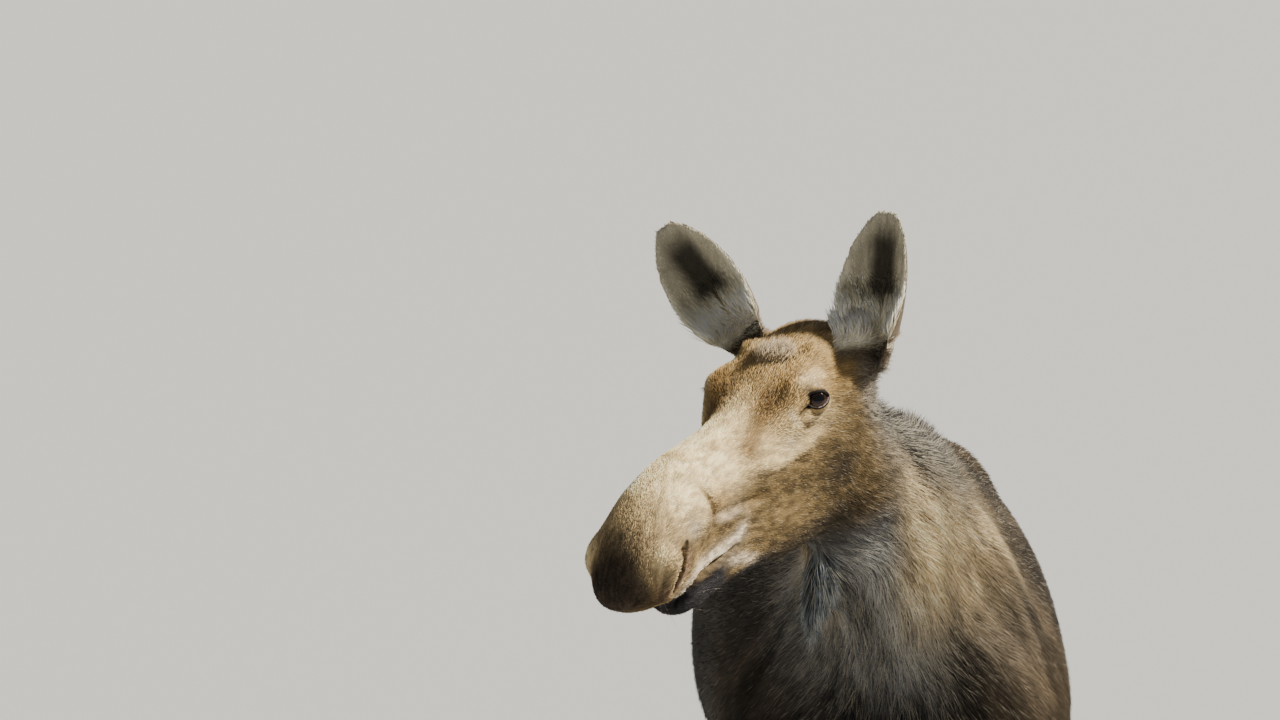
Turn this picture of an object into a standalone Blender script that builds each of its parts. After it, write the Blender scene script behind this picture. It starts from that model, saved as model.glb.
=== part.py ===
"""A life-size cow moose, standing with its head raised and turned to its right.

Units are metres.  +Z is up, the trunk lies along Y with the chest towards -Y, and
the animal's left side is +X.  Flesh is lofted from named sections, melted into one
body with a voxel remesh, thinned, and parted into named pieces by thin cuts.  The
surface is the outline of the coat, out to the tips of the hair.
"""

import math

import bmesh
import bpy
from mathutils import Matrix, Vector

# ---------------------------------------------------------------- driving sizes
WITHERS_HEIGHT = 1.82
EYE_RADIUS = 0.0205
FOOT_TOP = 0.078

HEAD_YAW = -39.0
HEAD_PITCH = 17.5
HEAD_ROLL = -6.0
HEAD_SCALE = 1.03
POLL = Vector((-0.184, -0.39, WITHERS_HEIGHT + 0.252))

CUT_GAP = 0.0005
RING_SIDES = 40
BODY_VOXEL = 0.009
FLESH_TRIANGLES = 4350

COAT = ("coat", (0.16, 0.11, 0.07), 0.85)
EYE = ("eye", (0.03, 0.015, 0.01), 0.08)
HORN = ("hoof", (0.04, 0.035, 0.03), 0.45)


# ---------------------------------------------------------------- shared helpers
def clear_scene():
    for obj in list(bpy.data.objects):
        bpy.data.objects.remove(obj)


def material(name, colour, roughness):
    made = bpy.data.materials.get(name) or bpy.data.materials.new(name)
    made.use_nodes = True
    shader = made.node_tree.nodes["Principled BSDF"]
    shader.inputs["Base Color"].default_value = (*colour, 1.0)
    shader.inputs["Roughness"].default_value = roughness
    shader.inputs["Metallic"].default_value = 0.0
    return made


def object_from(bm, name, finish=COAT):
    mesh = bpy.data.meshes.new(name)
    bm.to_mesh(mesh)
    bm.free()
    obj = bpy.data.objects.new(name, mesh)
    bpy.context.scene.collection.objects.link(obj)
    mesh.materials.append(material(*finish))
    return obj


def applied(obj):
    """Replaces an object's mesh by its evaluated one, with no modifiers left."""
    bpy.context.view_layer.update()
    graph = bpy.context.evaluated_depsgraph_get()
    mesh = bpy.data.meshes.new_from_object(obj.evaluated_get(graph))
    obj.modifiers.clear()
    obj.data = mesh
    return obj


def smooth_value(stations, at):
    """Catmull-Rom value of rows (position, value, value, ...) at a position."""
    rows = sorted(stations)
    if at <= rows[0][0]:
        return list(rows[0][1:])
    if at >= rows[-1][0]:
        return list(rows[-1][1:])
    i = max(k for k in range(len(rows) - 1) if rows[k][0] <= at)
    before, start = rows[max(i - 1, 0)], rows[i]
    end, after = rows[i + 1], rows[min(i + 2, len(rows) - 1)]
    span = end[0] - start[0]
    t = (at - start[0]) / span
    found = []
    for k in range(1, len(start)):
        rise_in = (end[k] - before[k]) / (end[0] - before[0]) * span
        rise_out = (after[k] - start[k]) / (after[0] - start[0]) * span
        found.append(
            (2 * t**3 - 3 * t**2 + 1) * start[k]
            + (t**3 - 2 * t**2 + t) * rise_in
            + (-2 * t**3 + 3 * t**2) * end[k]
            + (t**3 - t**2) * rise_out
        )
    return found


def section(centre, right, up, half_width, rise, drop, top_power=2.0, base_power=2.0):
    """One closed ring: a superellipse with its own height and fullness above and below."""
    ring = []
    for i in range(RING_SIDES):
        angle = 2 * math.pi * i / RING_SIDES
        c, s = math.cos(angle), math.sin(angle)
        power = top_power if s >= 0 else base_power
        x = half_width * math.copysign(abs(c) ** (2 / power), c)
        z = (rise if s >= 0 else drop) * math.copysign(abs(s) ** (2 / power), s)
        ring.append(centre + right * x + up * z)
    return ring


def add_tube(bm, rings):
    """Joins closed rings of equal count into one closed tube."""
    loops = [[bm.verts.new(p) for p in ring] for ring in rings]
    made = []
    for lower, upper in zip(loops, loops[1:]):
        for i in range(len(lower)):
            j = (i + 1) % len(lower)
            made.append(bm.faces.new((lower[i], lower[j], upper[j], upper[i])))
    made.append(bm.faces.new(list(reversed(loops[0]))))
    made.append(bm.faces.new(loops[-1]))
    bmesh.ops.recalc_face_normals(bm, faces=made)


def add_ball(bm, centre, radii, turn=(0.0, 0.0, 0.0)):
    """An ellipsoid, used as a muscle, an orbit or a joint's knuckle."""
    turned = Matrix.Identity(4)
    for degrees, axis in zip(turn, "XYZ"):
        turned = Matrix.Rotation(math.radians(degrees), 4, axis) @ turned
    place = Matrix.Translation(centre) @ turned @ Matrix.Diagonal((*radii, 1.0))
    bmesh.ops.create_icosphere(bm, subdivisions=4, radius=1.0, matrix=place)


def boolean(target, other, operation):
    """Cuts or keeps target by other and applies it."""
    cut = target.modifiers.new("cut", "BOOLEAN")
    cut.operation = operation
    cut.object = other
    applied(target)


def keep_largest(obj):
    """Drops the crumbs a cut can leave beside the main piece."""
    bm = bmesh.new()
    bm.from_mesh(obj.data)
    left = set(bm.verts)
    groups = []
    while left:
        group, front = set(), [left.pop()]
        while front:
            vert = front.pop()
            group.add(vert)
            for edge in vert.link_edges:
                other = edge.other_vert(vert)
                if other in left:
                    left.remove(other)
                    front.append(other)
        groups.append(group)
    groups.sort(key=len)
    for group in groups[:-1]:
        bmesh.ops.delete(bm, geom=list(group), context="VERTS")
    bm.to_mesh(obj.data)
    bm.free()


def copied(obj, name):
    twin = bpy.data.objects.new(name, obj.data.copy())
    bpy.context.scene.collection.objects.link(twin)
    return twin


def grown(obj, by):
    """A copy of obj whose surface stands out by a small distance."""
    twin = copied(obj, obj.name + "_grown")
    swell = twin.modifiers.new("swell", "DISPLACE")
    swell.strength = by
    swell.mid_level = 0.0
    return applied(twin)


def box(name, centre, size, turn):
    bm = bmesh.new()
    place = Matrix.Translation(centre) @ turn @ Matrix.Diagonal((*size, 1.0))
    bmesh.ops.create_cube(bm, size=1.0, matrix=place)
    return object_from(bm, name)


def part_off(body, name, centre, size, turn):
    """Takes what lies inside a turned box off body, leaving a thin gap, as a new piece."""
    piece = copied(body, name)
    tight = box("tight", centre, Vector(size) - Vector((CUT_GAP,) * 3), turn)
    loose = box("loose", centre, Vector(size) + Vector((CUT_GAP,) * 3), turn)
    boolean(piece, tight, "INTERSECT")
    boolean(body, loose, "DIFFERENCE")
    bpy.data.objects.remove(tight)
    bpy.data.objects.remove(loose)
    return piece


# ---------------------------------------------------------------- trunk
# Rows: y, top z, bottom z, half width, fullness above, fullness below
TRUNK_SECTIONS = [
    (-0.40, 1.33, 1.25, 0.050, 2.0, 2.0),
    (-0.375, 1.42, 1.15, 0.120, 2.0, 2.0),
    (-0.31, 1.55, 1.06, 0.185, 1.8, 2.1),
    (-0.22, 1.66, 1.01, 0.232, 1.5, 2.2),
    (-0.10, 1.76, 0.985, 0.268, 1.32, 2.2),
    (0.05, 1.82, 0.98, 0.300, 1.24, 2.3),
    (0.20, 1.80, 0.98, 0.317, 1.32, 2.3),
    (0.40, 1.71, 0.985, 0.332, 1.65, 2.3),
    (0.60, 1.645, 1.00, 0.338, 1.9, 2.3),
    (0.80, 1.615, 1.05, 0.322, 2.0, 2.2),
    (0.98, 1.595, 1.12, 0.280, 2.0, 2.1),
    (1.12, 1.545, 1.17, 0.232, 1.9, 2.0),
    (1.21, 1.47, 1.23, 0.175, 1.9, 2.0),
    (1.255, 1.40, 1.30, 0.100, 2.0, 2.0),
    (1.27, 1.365, 1.335, 0.040, 2.0, 2.0),
]
TRUNK_STEPS = 60
BARREL_WAIST = 0.38


def trunk_rings():
    first, last = TRUNK_SECTIONS[0][0], TRUNK_SECTIONS[-1][0]
    rings = []
    for i in range(TRUNK_STEPS + 1):
        y = first + (last - first) * i / TRUNK_STEPS
        top, bottom, half_width, above, below = smooth_value(TRUNK_SECTIONS, y)
        middle = bottom + BARREL_WAIST * (top - bottom)
        rings.append(section(Vector((0, y, middle)), Vector((1, 0, 0)), Vector((0, 0, 1)),
                             half_width, top - middle, middle - bottom, above, below))
    return rings


def add_trunk_muscles(bm):
    """Shoulder blade, point of the shoulder, elbow, haunch, buttock and stifle on each side."""
    for side in (1, -1):
        add_ball(bm, Vector((side * 0.145, -0.03, 1.40)), (0.100, 0.17, 0.32), (14, -side * 14, 0))
        add_ball(bm, Vector((side * 0.125, -0.22, 1.24)), (0.110, 0.15, 0.19))
        add_ball(bm, Vector((side * 0.150, -0.09, 1.12)), (0.095, 0.17, 0.20))
        add_ball(bm, Vector((side * 0.150, 0.92, 1.31)), (0.140, 0.27, 0.26), (-20, 0, 0))
        add_ball(bm, Vector((side * 0.125, 1.08, 1.24)), (0.120, 0.17, 0.25), (12, 0, 0))
        add_ball(bm, Vector((side * 0.150, 0.86, 1.14)), (0.110, 0.17, 0.19), (-25, 0, 0))


# ---------------------------------------------------------------- neck
# Rows: share of the way, half width, thickness above and below its line
NECK_SECTIONS = [
    (0.0, 0.165, 0.360, 0.270),
    (0.3, 0.158, 0.300, 0.275),
    (0.6, 0.130, 0.205, 0.225),
    (0.85, 0.105, 0.142, 0.180),
    (1.0, 0.095, 0.115, 0.155),
]
NECK_STEPS = 24
NECK_ROOT = Vector((0.0, 0.02, 1.38))
NECK_BEND = Vector((-0.015, -0.24, 1.66))
NECK_END = Vector((0, -0.07, -0.135))


def head_matrix():
    return (Matrix.Translation(POLL)
            @ Matrix.Rotation(math.radians(HEAD_YAW), 4, "Z")
            @ Matrix.Rotation(math.radians(HEAD_PITCH), 4, "X")
            @ Matrix.Rotation(math.radians(HEAD_ROLL), 4, "Y")
            @ Matrix.Scale(HEAD_SCALE, 4))


def neck_rings():
    skull_end = head_matrix() @ NECK_END
    rings = []
    for i in range(NECK_STEPS + 1):
        t = i / NECK_STEPS
        point = ((1 - t) ** 2 * NECK_ROOT + 2 * t * (1 - t) * NECK_BEND
                 + t**2 * skull_end)
        along = (2 * (1 - t) * (NECK_BEND - NECK_ROOT)
                 + 2 * t * (skull_end - NECK_BEND)).normalized()
        left = Matrix.Rotation(math.radians(HEAD_YAW * 0.8 * t), 3, "Z") @ Vector((1, 0, 0))
        up = left.cross(along).normalized()
        up = up if up.y > 0 else -up
        right = along.cross(up).normalized()
        half_width, rise, drop = smooth_value(NECK_SECTIONS, t)
        rings.append(section(point, right, up, half_width, rise, drop, 1.6, 2.1))
    return rings


# ---------------------------------------------------------------- head
# Rows: distance in front of the poll, top z, bottom z, half width, fullness above and below
SKULL_SECTIONS = [
    (-0.035, -0.045, -0.185, 0.060, 2.2, 2.2),
    (0.00, 0.004, -0.210, 0.080, 2.5, 2.2),
    (0.04, 0.013, -0.220, 0.092, 2.7, 2.2),
    (0.09, 0.012, -0.225, 0.097, 2.7, 2.2),
    (0.16, 0.006, -0.228, 0.096, 2.8, 2.2),
    (0.22, -0.010, -0.222, 0.087, 2.5, 2.2),
    (0.29, -0.027, -0.215, 0.076, 2.3, 2.2),
    (0.36, -0.022, -0.210, 0.070, 2.2, 2.2),
    (0.43, -0.016, -0.205, 0.070, 2.2, 2.3),
    (0.50, -0.025, -0.202, 0.076, 2.2, 2.4),
    (0.56, -0.046, -0.201, 0.079, 2.2, 2.5),
    (0.60, -0.070, -0.197, 0.073, 2.2, 2.5),
    (0.635, -0.101, -0.190, 0.058, 2.2, 2.4),
    (0.660, -0.132, -0.174, 0.033, 2.0, 2.2),
]
# Rows: distance in front of the poll, top z, bottom z, half width
JAW_SECTIONS = [
    (0.030, -0.120, -0.215, 0.055),
    (0.07, -0.120, -0.265, 0.070),
    (0.13, -0.120, -0.294, 0.076),
    (0.21, -0.130, -0.300, 0.072),
    (0.29, -0.140, -0.286, 0.067),
    (0.37, -0.150, -0.264, 0.062),
    (0.44, -0.155, -0.252, 0.056),
    (0.50, -0.165, -0.255, 0.050),
    (0.55, -0.180, -0.248, 0.038),
]
HEAD_STEPS = 48
BELL_AT = Vector((-0.195, -0.475, 1.63))
BELL_RADII = (0.026, 0.050, 0.100)
EYE_AT = Vector((0.0970, -0.177, -0.053))


def add_bell(bm):
    """The small flap of skin and hair under the throat."""
    add_ball(bm, BELL_AT, BELL_RADII, (-16, 0, -20))


def head_rings(stations, steps):
    first, last = stations[0][0], stations[-1][0]
    rings = []
    for i in range(steps + 1):
        along = first + (last - first) * i / steps
        values = smooth_value(stations, along)
        top, bottom, half_width = values[:3]
        above, below = values[3:] if len(values) > 3 else (2.2, 2.2)
        middle = (top + bottom) / 2
        rings.append(section(Vector((0, -along, middle)), Vector((1, 0, 0)),
                             Vector((0, 0, 1)), half_width, top - middle,
                             middle - bottom, above, below))
    return rings


def add_head_lumps(bm):
    """Brow, pedicle, cheekbone, jaw muscle, cheek, ear root and nostril wing of each side."""
    for side in (1, -1):
        add_ball(bm, Vector((side * 0.074, -0.176, -0.030)), (0.032, 0.058, 0.031), (4, 0, side * 6))
        add_ball(bm, Vector((side * 0.074, -0.194, -0.064)), (0.030, 0.070, 0.036))
        add_ball(bm, Vector((side * 0.052, -0.112, -0.004)), (0.026, 0.030, 0.020))
        add_ball(bm, Vector((side * 0.056, -0.235, -0.118)), (0.027, 0.115, 0.048), (-10, 0, side * 6))
        add_ball(bm, Vector((side * 0.054, -0.120, -0.185)), (0.033, 0.090, 0.090))
        add_ball(bm, Vector((side * 0.040, -0.300, -0.190)), (0.031, 0.115, 0.064), (-8, 0, 0))
        add_ball(bm, Vector((side * 0.066, 0.000, -0.066)), (0.040, 0.042, 0.062))
        add_ball(bm, Vector((side * 0.050, -0.560, -0.125)), (0.038, 0.052, 0.052))


# ---------------------------------------------------------------- ears
EAR_LENGTH = 0.268
EAR_WALL = 0.009
EAR_ROWS = 11
EAR_COLUMNS = 8
# Rows: share of the length, half width along the curve, half angle of the curl in degrees
EAR_SECTIONS = [
    (0.0, 0.062, 168),
    (0.15, 0.078, 125),
    (0.35, 0.087, 88),
    (0.60, 0.078, 63),
    (0.82, 0.055, 46),
    (0.94, 0.033, 34),
    (1.0, 0.015, 24),
]
EAR_ROOT = {"left": Vector((0.095, -0.004, -0.099)), "right": Vector((-0.106, -0.030, -0.058))}
EAR_AIM = {"left": Vector((0.040, 0.10, 1.0)), "right": Vector((-0.65, 0.16, 0.83))}
EAR_OPENING = {"left": Vector((-0.62, -0.78, 0.12)), "right": Vector((-0.10, -1.0, -0.10))}


def ear(side):
    """A curled leaf, rolled into a tube at its root and open towards its tip."""
    bm = bmesh.new()
    grid = []
    for i in range(EAR_ROWS + 1):
        share = i / EAR_ROWS
        half_width, curl = smooth_value(EAR_SECTIONS, share)
        curl = math.radians(curl)
        radius = half_width / curl
        row = []
        for j in range(EAR_COLUMNS + 1):
            angle = curl * (2 * j / EAR_COLUMNS - 1)
            row.append(bm.verts.new((radius * math.sin(angle),
                                     radius * (1 - math.cos(angle)) * -1.0,
                                     EAR_LENGTH * share)))
        grid.append(row)
    for low, high in zip(grid, grid[1:]):
        for j in range(EAR_COLUMNS):
            bm.faces.new((low[j], low[j + 1], high[j + 1], high[j]))
    bmesh.ops.recalc_face_normals(bm, faces=bm.faces)
    root = head_matrix() @ EAR_ROOT[side]
    along = EAR_AIM[side].normalized()
    opening = EAR_OPENING[side]
    opening = (opening - opening.dot(along) * along).normalized()
    across = opening.cross(along).normalized()
    frame = Matrix((across, -opening, along)).transposed().to_4x4()
    bm.transform(Matrix.Translation(root) @ frame)
    obj = object_from(bm, f"ear_{side}")
    wall = obj.modifiers.new("wall", "SOLIDIFY")
    wall.thickness = EAR_WALL
    wall.offset = 0.0
    return applied(obj)


# ---------------------------------------------------------------- legs
# Rows: z, x, y, half width, half depth, for the left leg of a pair
FRONT_LEG = [
    (1.30, 0.170, -0.10, 0.060, 0.120),
    (1.12, 0.175, -0.09, 0.068, 0.118),
    (0.98, 0.168, -0.08, 0.062, 0.092),
    (0.85, 0.160, -0.08, 0.053, 0.068),
    (0.72, 0.154, -0.085, 0.045, 0.052),
    (0.64, 0.152, -0.090, 0.045, 0.048),
    (0.57, 0.151, -0.092, 0.047, 0.050),
    (0.51, 0.150, -0.085, 0.039, 0.042),
    (0.44, 0.149, -0.078, 0.032, 0.037),
    (0.33, 0.148, -0.074, 0.030, 0.035),
    (0.22, 0.148, -0.072, 0.033, 0.039),
    (0.165, 0.148, -0.076, 0.041, 0.046),
    (0.12, 0.148, -0.092, 0.039, 0.041),
    (0.05, 0.148, -0.118, 0.046, 0.047),
]
HIND_LEG = [
    (1.30, 0.150, 0.96, 0.085, 0.190),
    (1.14, 0.168, 0.93, 0.088, 0.190),
    (1.02, 0.165, 0.93, 0.074, 0.142),
    (0.92, 0.158, 0.97, 0.060, 0.098),
    (0.82, 0.151, 1.035, 0.048, 0.074),
    (0.75, 0.147, 1.075, 0.042, 0.066),
    (0.69, 0.145, 1.095, 0.044, 0.062),
    (0.63, 0.143, 1.095, 0.043, 0.050),
    (0.56, 0.141, 1.085, 0.036, 0.042),
    (0.45, 0.140, 1.068, 0.031, 0.037),
    (0.30, 0.138, 1.045, 0.030, 0.035),
    (0.22, 0.138, 1.033, 0.034, 0.040),
    (0.165, 0.138, 1.024, 0.041, 0.047),
    (0.12, 0.138, 1.006, 0.039, 0.041),
    (0.05, 0.138, 0.978, 0.046, 0.047),
]
LEG_STEPS = 64
SWING_TOP = 1.10
# How far back each foot stands from its place in the table; the leg swings with it
STRIDES = {"front_left": -0.05, "front_right": 0.06, "hind_left": 0.03, "hind_right": -0.09}


def leg_sign(name):
    return 1 if name.endswith("left") else -1


def leg_stations(name):
    rows = FRONT_LEG if name.startswith("front") else HIND_LEG
    made = []
    for z, x, y, half_width, half_depth in rows:
        swing = max(0.0, min(1.0, (SWING_TOP - z) / SWING_TOP))
        made.append((z, leg_sign(name) * x, y + STRIDES[name] * swing, half_width, half_depth))
    return made


def leg_rings(name):
    stations = leg_stations(name)
    high, low = stations[0][0], stations[-1][0]
    rings = []
    for i in range(LEG_STEPS + 1):
        z = high + (low - high) * i / LEG_STEPS
        x, y, half_width, half_depth = smooth_value(stations, z)
        rings.append(section(Vector((x, y, z)), Vector((1, 0, 0)), Vector((0, -1, 0)),
                             half_width, half_depth, half_depth, 2.2, 2.2))
    return rings


def add_leg_knuckles(bm, name):
    """Point of the hock or back of the knee, and the fetlock's rear."""
    stations = leg_stations(name)
    if name.startswith("hind"):
        x, y = smooth_value(stations, 0.74)[:2]
        add_ball(bm, Vector((x, y + 0.036, 0.765)), (0.026, 0.030, 0.075), (14, 0, 0))
    else:
        x, y = smooth_value(stations, 0.56)[:2]
        add_ball(bm, Vector((x, y + 0.026, 0.565)), (0.032, 0.034, 0.045))
    x, y = smooth_value(stations, 0.165)[:2]
    add_ball(bm, Vector((x, y + 0.022, 0.160)), (0.036, 0.032, 0.038))


# ---------------------------------------------------------------- the whole body
BODY_MELT = 0.014
HIDE_EASING = 36


def trunk_and_legs():
    """Trunk, neck and legs melted into one, with the muscles eased into the hide."""
    bm = bmesh.new()
    add_tube(bm, trunk_rings())
    add_trunk_muscles(bm)
    add_tube(bm, neck_rings())
    add_bell(bm)
    for name in STRIDES:
        add_tube(bm, leg_rings(name))
        add_leg_knuckles(bm, name)
    body = object_from(bm, "body")
    melt = body.modifiers.new("melt", "REMESH")
    melt.mode = "VOXEL"
    melt.voxel_size = BODY_MELT
    applied(body)
    hide = body.vertex_groups.new(name="hide")
    for vertex in body.data.vertices:
        share = (vertex.co.z - 0.80) / 0.35
        hide.add([vertex.index], max(0.12, min(1.0, share)), "REPLACE")
    ease = body.modifiers.new("ease", "SMOOTH")
    ease.factor = 0.5
    ease.iterations = HIDE_EASING
    ease.vertex_group = "hide"
    return applied(body)


def flesh():
    """Every part of flesh but the ears and tail, as one smooth closed body."""
    body = trunk_and_legs()
    head = bmesh.new()
    add_tube(head, head_rings(SKULL_SECTIONS, HEAD_STEPS))
    add_tube(head, head_rings(JAW_SECTIONS, HEAD_STEPS))
    add_head_lumps(head)
    head.transform(head_matrix())
    head.from_mesh(body.data)
    bpy.data.objects.remove(body)
    body = object_from(head, "body")
    melt = body.modifiers.new("melt", "REMESH")
    melt.mode = "VOXEL"
    melt.voxel_size = BODY_VOXEL
    ease = body.modifiers.new("ease", "SMOOTH")
    ease.factor = 0.5
    ease.iterations = 8
    return applied(body)


# ---------------------------------------------------------------- feet and tail
TOE_SIDES = 10
TOE_LENGTH = 0.128
TOE_HALF_WIDTH = 0.029
TOE_SPREAD = 0.0325
# Rows: z, centre's shift back from the sole's, share of the length, share of the width
TOE_RINGS = [
    (0.0, 0.000, 1.00, 1.00),
    (0.018, 0.004, 0.96, 1.00),
    (0.050, 0.016, 0.80, 0.92),
    (0.100, 0.040, 0.58, 0.80),
]
CORONET_TILT = 17.0
DEWCLAW_HEIGHT = 0.128
DEWCLAW_SIDE = 0.021
DEWCLAW_RADII = (0.014, 0.019, 0.033)


def foot_place(name):
    """Where the middle of a foot's sole stands."""
    x, y = leg_stations(name)[-1][1:3]
    return Vector((x, y - 0.018, 0.0))


def coronet(name):
    """The slanted plane between a foot's flesh and its hooves, as a frame with +Z up the leg."""
    at = foot_place(name) + Vector((0, 0.02, FOOT_TOP))
    return at, Matrix.Rotation(math.radians(CORONET_TILT), 4, "X").inverted()


def toe(name, side):
    """One half of a cloven hoof, flat under the sole and pointed in front."""
    bm = bmesh.new()
    centre = foot_place(name) + Vector((side * TOE_SPREAD, 0, 0))
    rings = []
    for z, back, length, width in TOE_RINGS:
        ring = []
        for i in range(TOE_SIDES):
            angle = 2 * math.pi * i / TOE_SIDES
            c, s = math.cos(angle), math.sin(angle)
            pinch = 1.0 - 0.42 * max(0.0, -s) ** 1.5
            outer = 1.0 if c * side > 0 else 0.82
            ring.append(centre + Vector((c * outer * pinch * TOE_HALF_WIDTH * width,
                                         back + s * TOE_LENGTH / 2 * length, z)))
        rings.append(ring)
    add_tube(bm, rings)
    where = "outer" if side * leg_sign(name) > 0 else "inner"
    obj = object_from(bm, f"{name}_hoof_{where}", HORN)
    at, turn = coronet(name)
    normal = (turn @ Vector((0, 0, 1, 0))).xyz
    knife = box("knife", at + normal * (0.1 - CUT_GAP / 2), (0.3, 0.4, 0.2), turn)
    boolean(obj, knife, "DIFFERENCE")
    bpy.data.objects.remove(knife)
    return obj


def dewclaw(name, side, leg):
    """A small spare claw behind the pastern, seated on the leg."""
    bm = bmesh.new()
    x, y, _, half_depth = smooth_value(leg_stations(name), DEWCLAW_HEIGHT)
    centre = Vector((x + side * DEWCLAW_SIDE, y + half_depth + 0.004, DEWCLAW_HEIGHT))
    place = (Matrix.Translation(centre) @ Matrix.Rotation(math.radians(28), 4, "X")
             @ Matrix.Diagonal((*DEWCLAW_RADII, 1.0)))
    bmesh.ops.create_uvsphere(bm, u_segments=7, v_segments=4, radius=1.0, matrix=place)
    where = "outer" if side * leg_sign(name) > 0 else "inner"
    obj = object_from(bm, f"{name}_dewclaw_{where}", HORN)
    skin = grown(leg, CUT_GAP)
    boolean(obj, skin, "DIFFERENCE")
    keep_largest(obj)
    bpy.data.objects.remove(skin)
    return obj


TAIL_LINE = [
    (0.00, 1.175, 1.468, 0.030, 0.024),
    (0.25, 1.226, 1.444, 0.034, 0.026),
    (0.55, 1.262, 1.390, 0.034, 0.024),
    (0.85, 1.272, 1.330, 0.025, 0.019),
    (1.00, 1.272, 1.305, 0.010, 0.009),
]
TAIL_STEPS = 8
TAIL_SIDES = 10


def tail(trunk):
    """A short tail, flat against the rump."""
    bm = bmesh.new()
    rings = []
    for i in range(TAIL_STEPS + 1):
        t = i / TAIL_STEPS
        y, z, half_width, half_depth = smooth_value(TAIL_LINE, t)
        ahead = smooth_value(TAIL_LINE, min(1.0, t + 0.05))
        behind = smooth_value(TAIL_LINE, max(0.0, t - 0.05))
        along = Vector((0, ahead[0] - behind[0], ahead[1] - behind[1])).normalized()
        out = Vector((1, 0, 0)).cross(along).normalized()
        ring = []
        for k in range(TAIL_SIDES):
            angle = 2 * math.pi * k / TAIL_SIDES
            ring.append(Vector((0, y, z)) + Vector((1, 0, 0)) * half_width * math.cos(angle)
                        + out * half_depth * math.sin(angle))
        rings.append(ring)
    add_tube(bm, rings)
    obj = object_from(bm, "tail")
    skin = grown(trunk, CUT_GAP)
    boolean(obj, skin, "DIFFERENCE")
    keep_largest(obj)
    bpy.data.objects.remove(skin)
    return obj


# ---------------------------------------------------------------- thinning and parting
HEAD_WEIGHT = 0.5
LEG_WEIGHT = 0.9
SHARE_STRENGTH = 0.0014


def thinned(body):
    """Fewer triangles, kept mostly for the head."""
    into_head = head_matrix().inverted()
    share = body.vertex_groups.new(name="share")
    for vertex in body.data.vertices:
        local = into_head @ vertex.co
        if local.y < 0.06 and local.z > -0.36 and abs(local.x) < 0.16:
            weight = HEAD_WEIGHT
        elif vertex.co.z < 0.95:
            weight = LEG_WEIGHT
        else:
            weight = 1.0
        share.add([vertex.index], weight, "REPLACE")
    thin = body.modifiers.new("thin", "DECIMATE")
    thin.ratio = FLESH_TRIANGLES / (2 * len(body.data.polygons))
    thin.use_collapse_triangulate = True
    thin.vertex_group = "share"
    thin.vertex_group_factor = SHARE_STRENGTH
    applied(body)
    body.vertex_groups.clear()
    return body


NECK_CUT_AT = Vector((0, -0.13, 1.775))
NECK_CUT_TILT = 31.0
LEG_CUTS = {
    # height of the cut beside the belly, rise outwards and backwards in metres per metre,
    # front and back reach in y, height of the lower cut
    "front": (0.985, 0.36, 0.0, -0.36, 0.20, 0.50),
    "hind": (1.085, 0.40, 0.25, 0.66, 1.40, 0.60),
}
LEG_CUT_INNER = 0.10


def part_legs(body):
    """Takes the legs off the trunk by slanted cuts, and the cannons off below the knee."""
    for name in STRIDES:
        sign = leg_sign(name)
        cut, rise, climb, front, back, low = LEG_CUTS[name.split("_")[0]]
        lean = Matrix.Identity(4)
        lean[2][0], lean[2][1] = sign * rise, climb
        middle = Vector((sign * (LEG_CUT_INNER + 0.07), (front + back) / 2, 0))
        top = cut + rise * (abs(middle.x) - LEG_CUT_INNER)
        leg = part_off(body, f"{name}_leg", middle + Vector((0, 0, top - 1.0)),
                       (0.33, back - front, 2.0), lean)
        foot = part_off(leg, f"{name}_cannon", middle + Vector((0, 0, low - 0.5)),
                        (0.6, 1.2, 1.0), Matrix.Identity(4))
        at, slope = coronet(name)
        up = (slope @ Vector((0, 0, 1, 0))).xyz
        knife = box("knife", at - up * (0.1 - CUT_GAP / 2), (0.3, 0.5, 0.2), slope)
        boolean(foot, knife, "DIFFERENCE")
        bpy.data.objects.remove(knife)
        for side in (1, -1):
            toe(name, side)
            dewclaw(name, side, foot)


def part_head(body):
    """Takes the neck off the trunk, the head off the neck and the chin off the head."""
    turn = Matrix.Rotation(math.radians(90 - NECK_CUT_TILT), 4, "X")
    normal = (turn @ Vector((0, 0, 1, 0))).xyz
    neck = part_off(body, "neck", NECK_CUT_AT + normal * 1.0, Vector((2.0, 2.0, 2.0)), turn)
    frame = head_matrix()
    rotation = frame.to_3x3().normalized().to_4x4()
    back = rotation @ Matrix.Rotation(math.radians(90 - 18), 4, "X")
    normal = (back @ Vector((0, 0, 1, 0))).xyz
    head = part_off(neck, "head", frame @ Vector((0, 0.040, 0.0)) + normal * 1.0,
                    Vector((2.0, 2.0, 2.0)), back)
    mouth = rotation @ Matrix.Rotation(math.radians(MOUTH_TILT), 4, "X")
    down = (mouth @ Vector((0, 0, -1, 0))).xyz
    ahead = (mouth @ Vector((0, -1, 0, 0))).xyz
    part_off(head, "lower_jaw", frame @ MOUTH_CORNER + down * 0.1 + ahead * 0.2,
             Vector((0.4, 0.4, 0.2)), mouth)
    return head


MOUTH_CORNER = Vector((0, -0.385, -0.196))
MOUTH_TILT = 3.0


def stand_at_origin():
    """Moves everything so the origin is the middle of the box's floor."""
    points = [v.co for obj in bpy.data.objects for v in obj.data.vertices]
    low = Vector(min(p[k] for p in points) for k in range(3))
    high = Vector(max(p[k] for p in points) for k in range(3))
    middle = (low + high) / 2
    shift = Matrix.Translation((-middle.x, -middle.y, -low.z))
    for obj in bpy.data.objects:
        obj.data.transform(shift)


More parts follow.
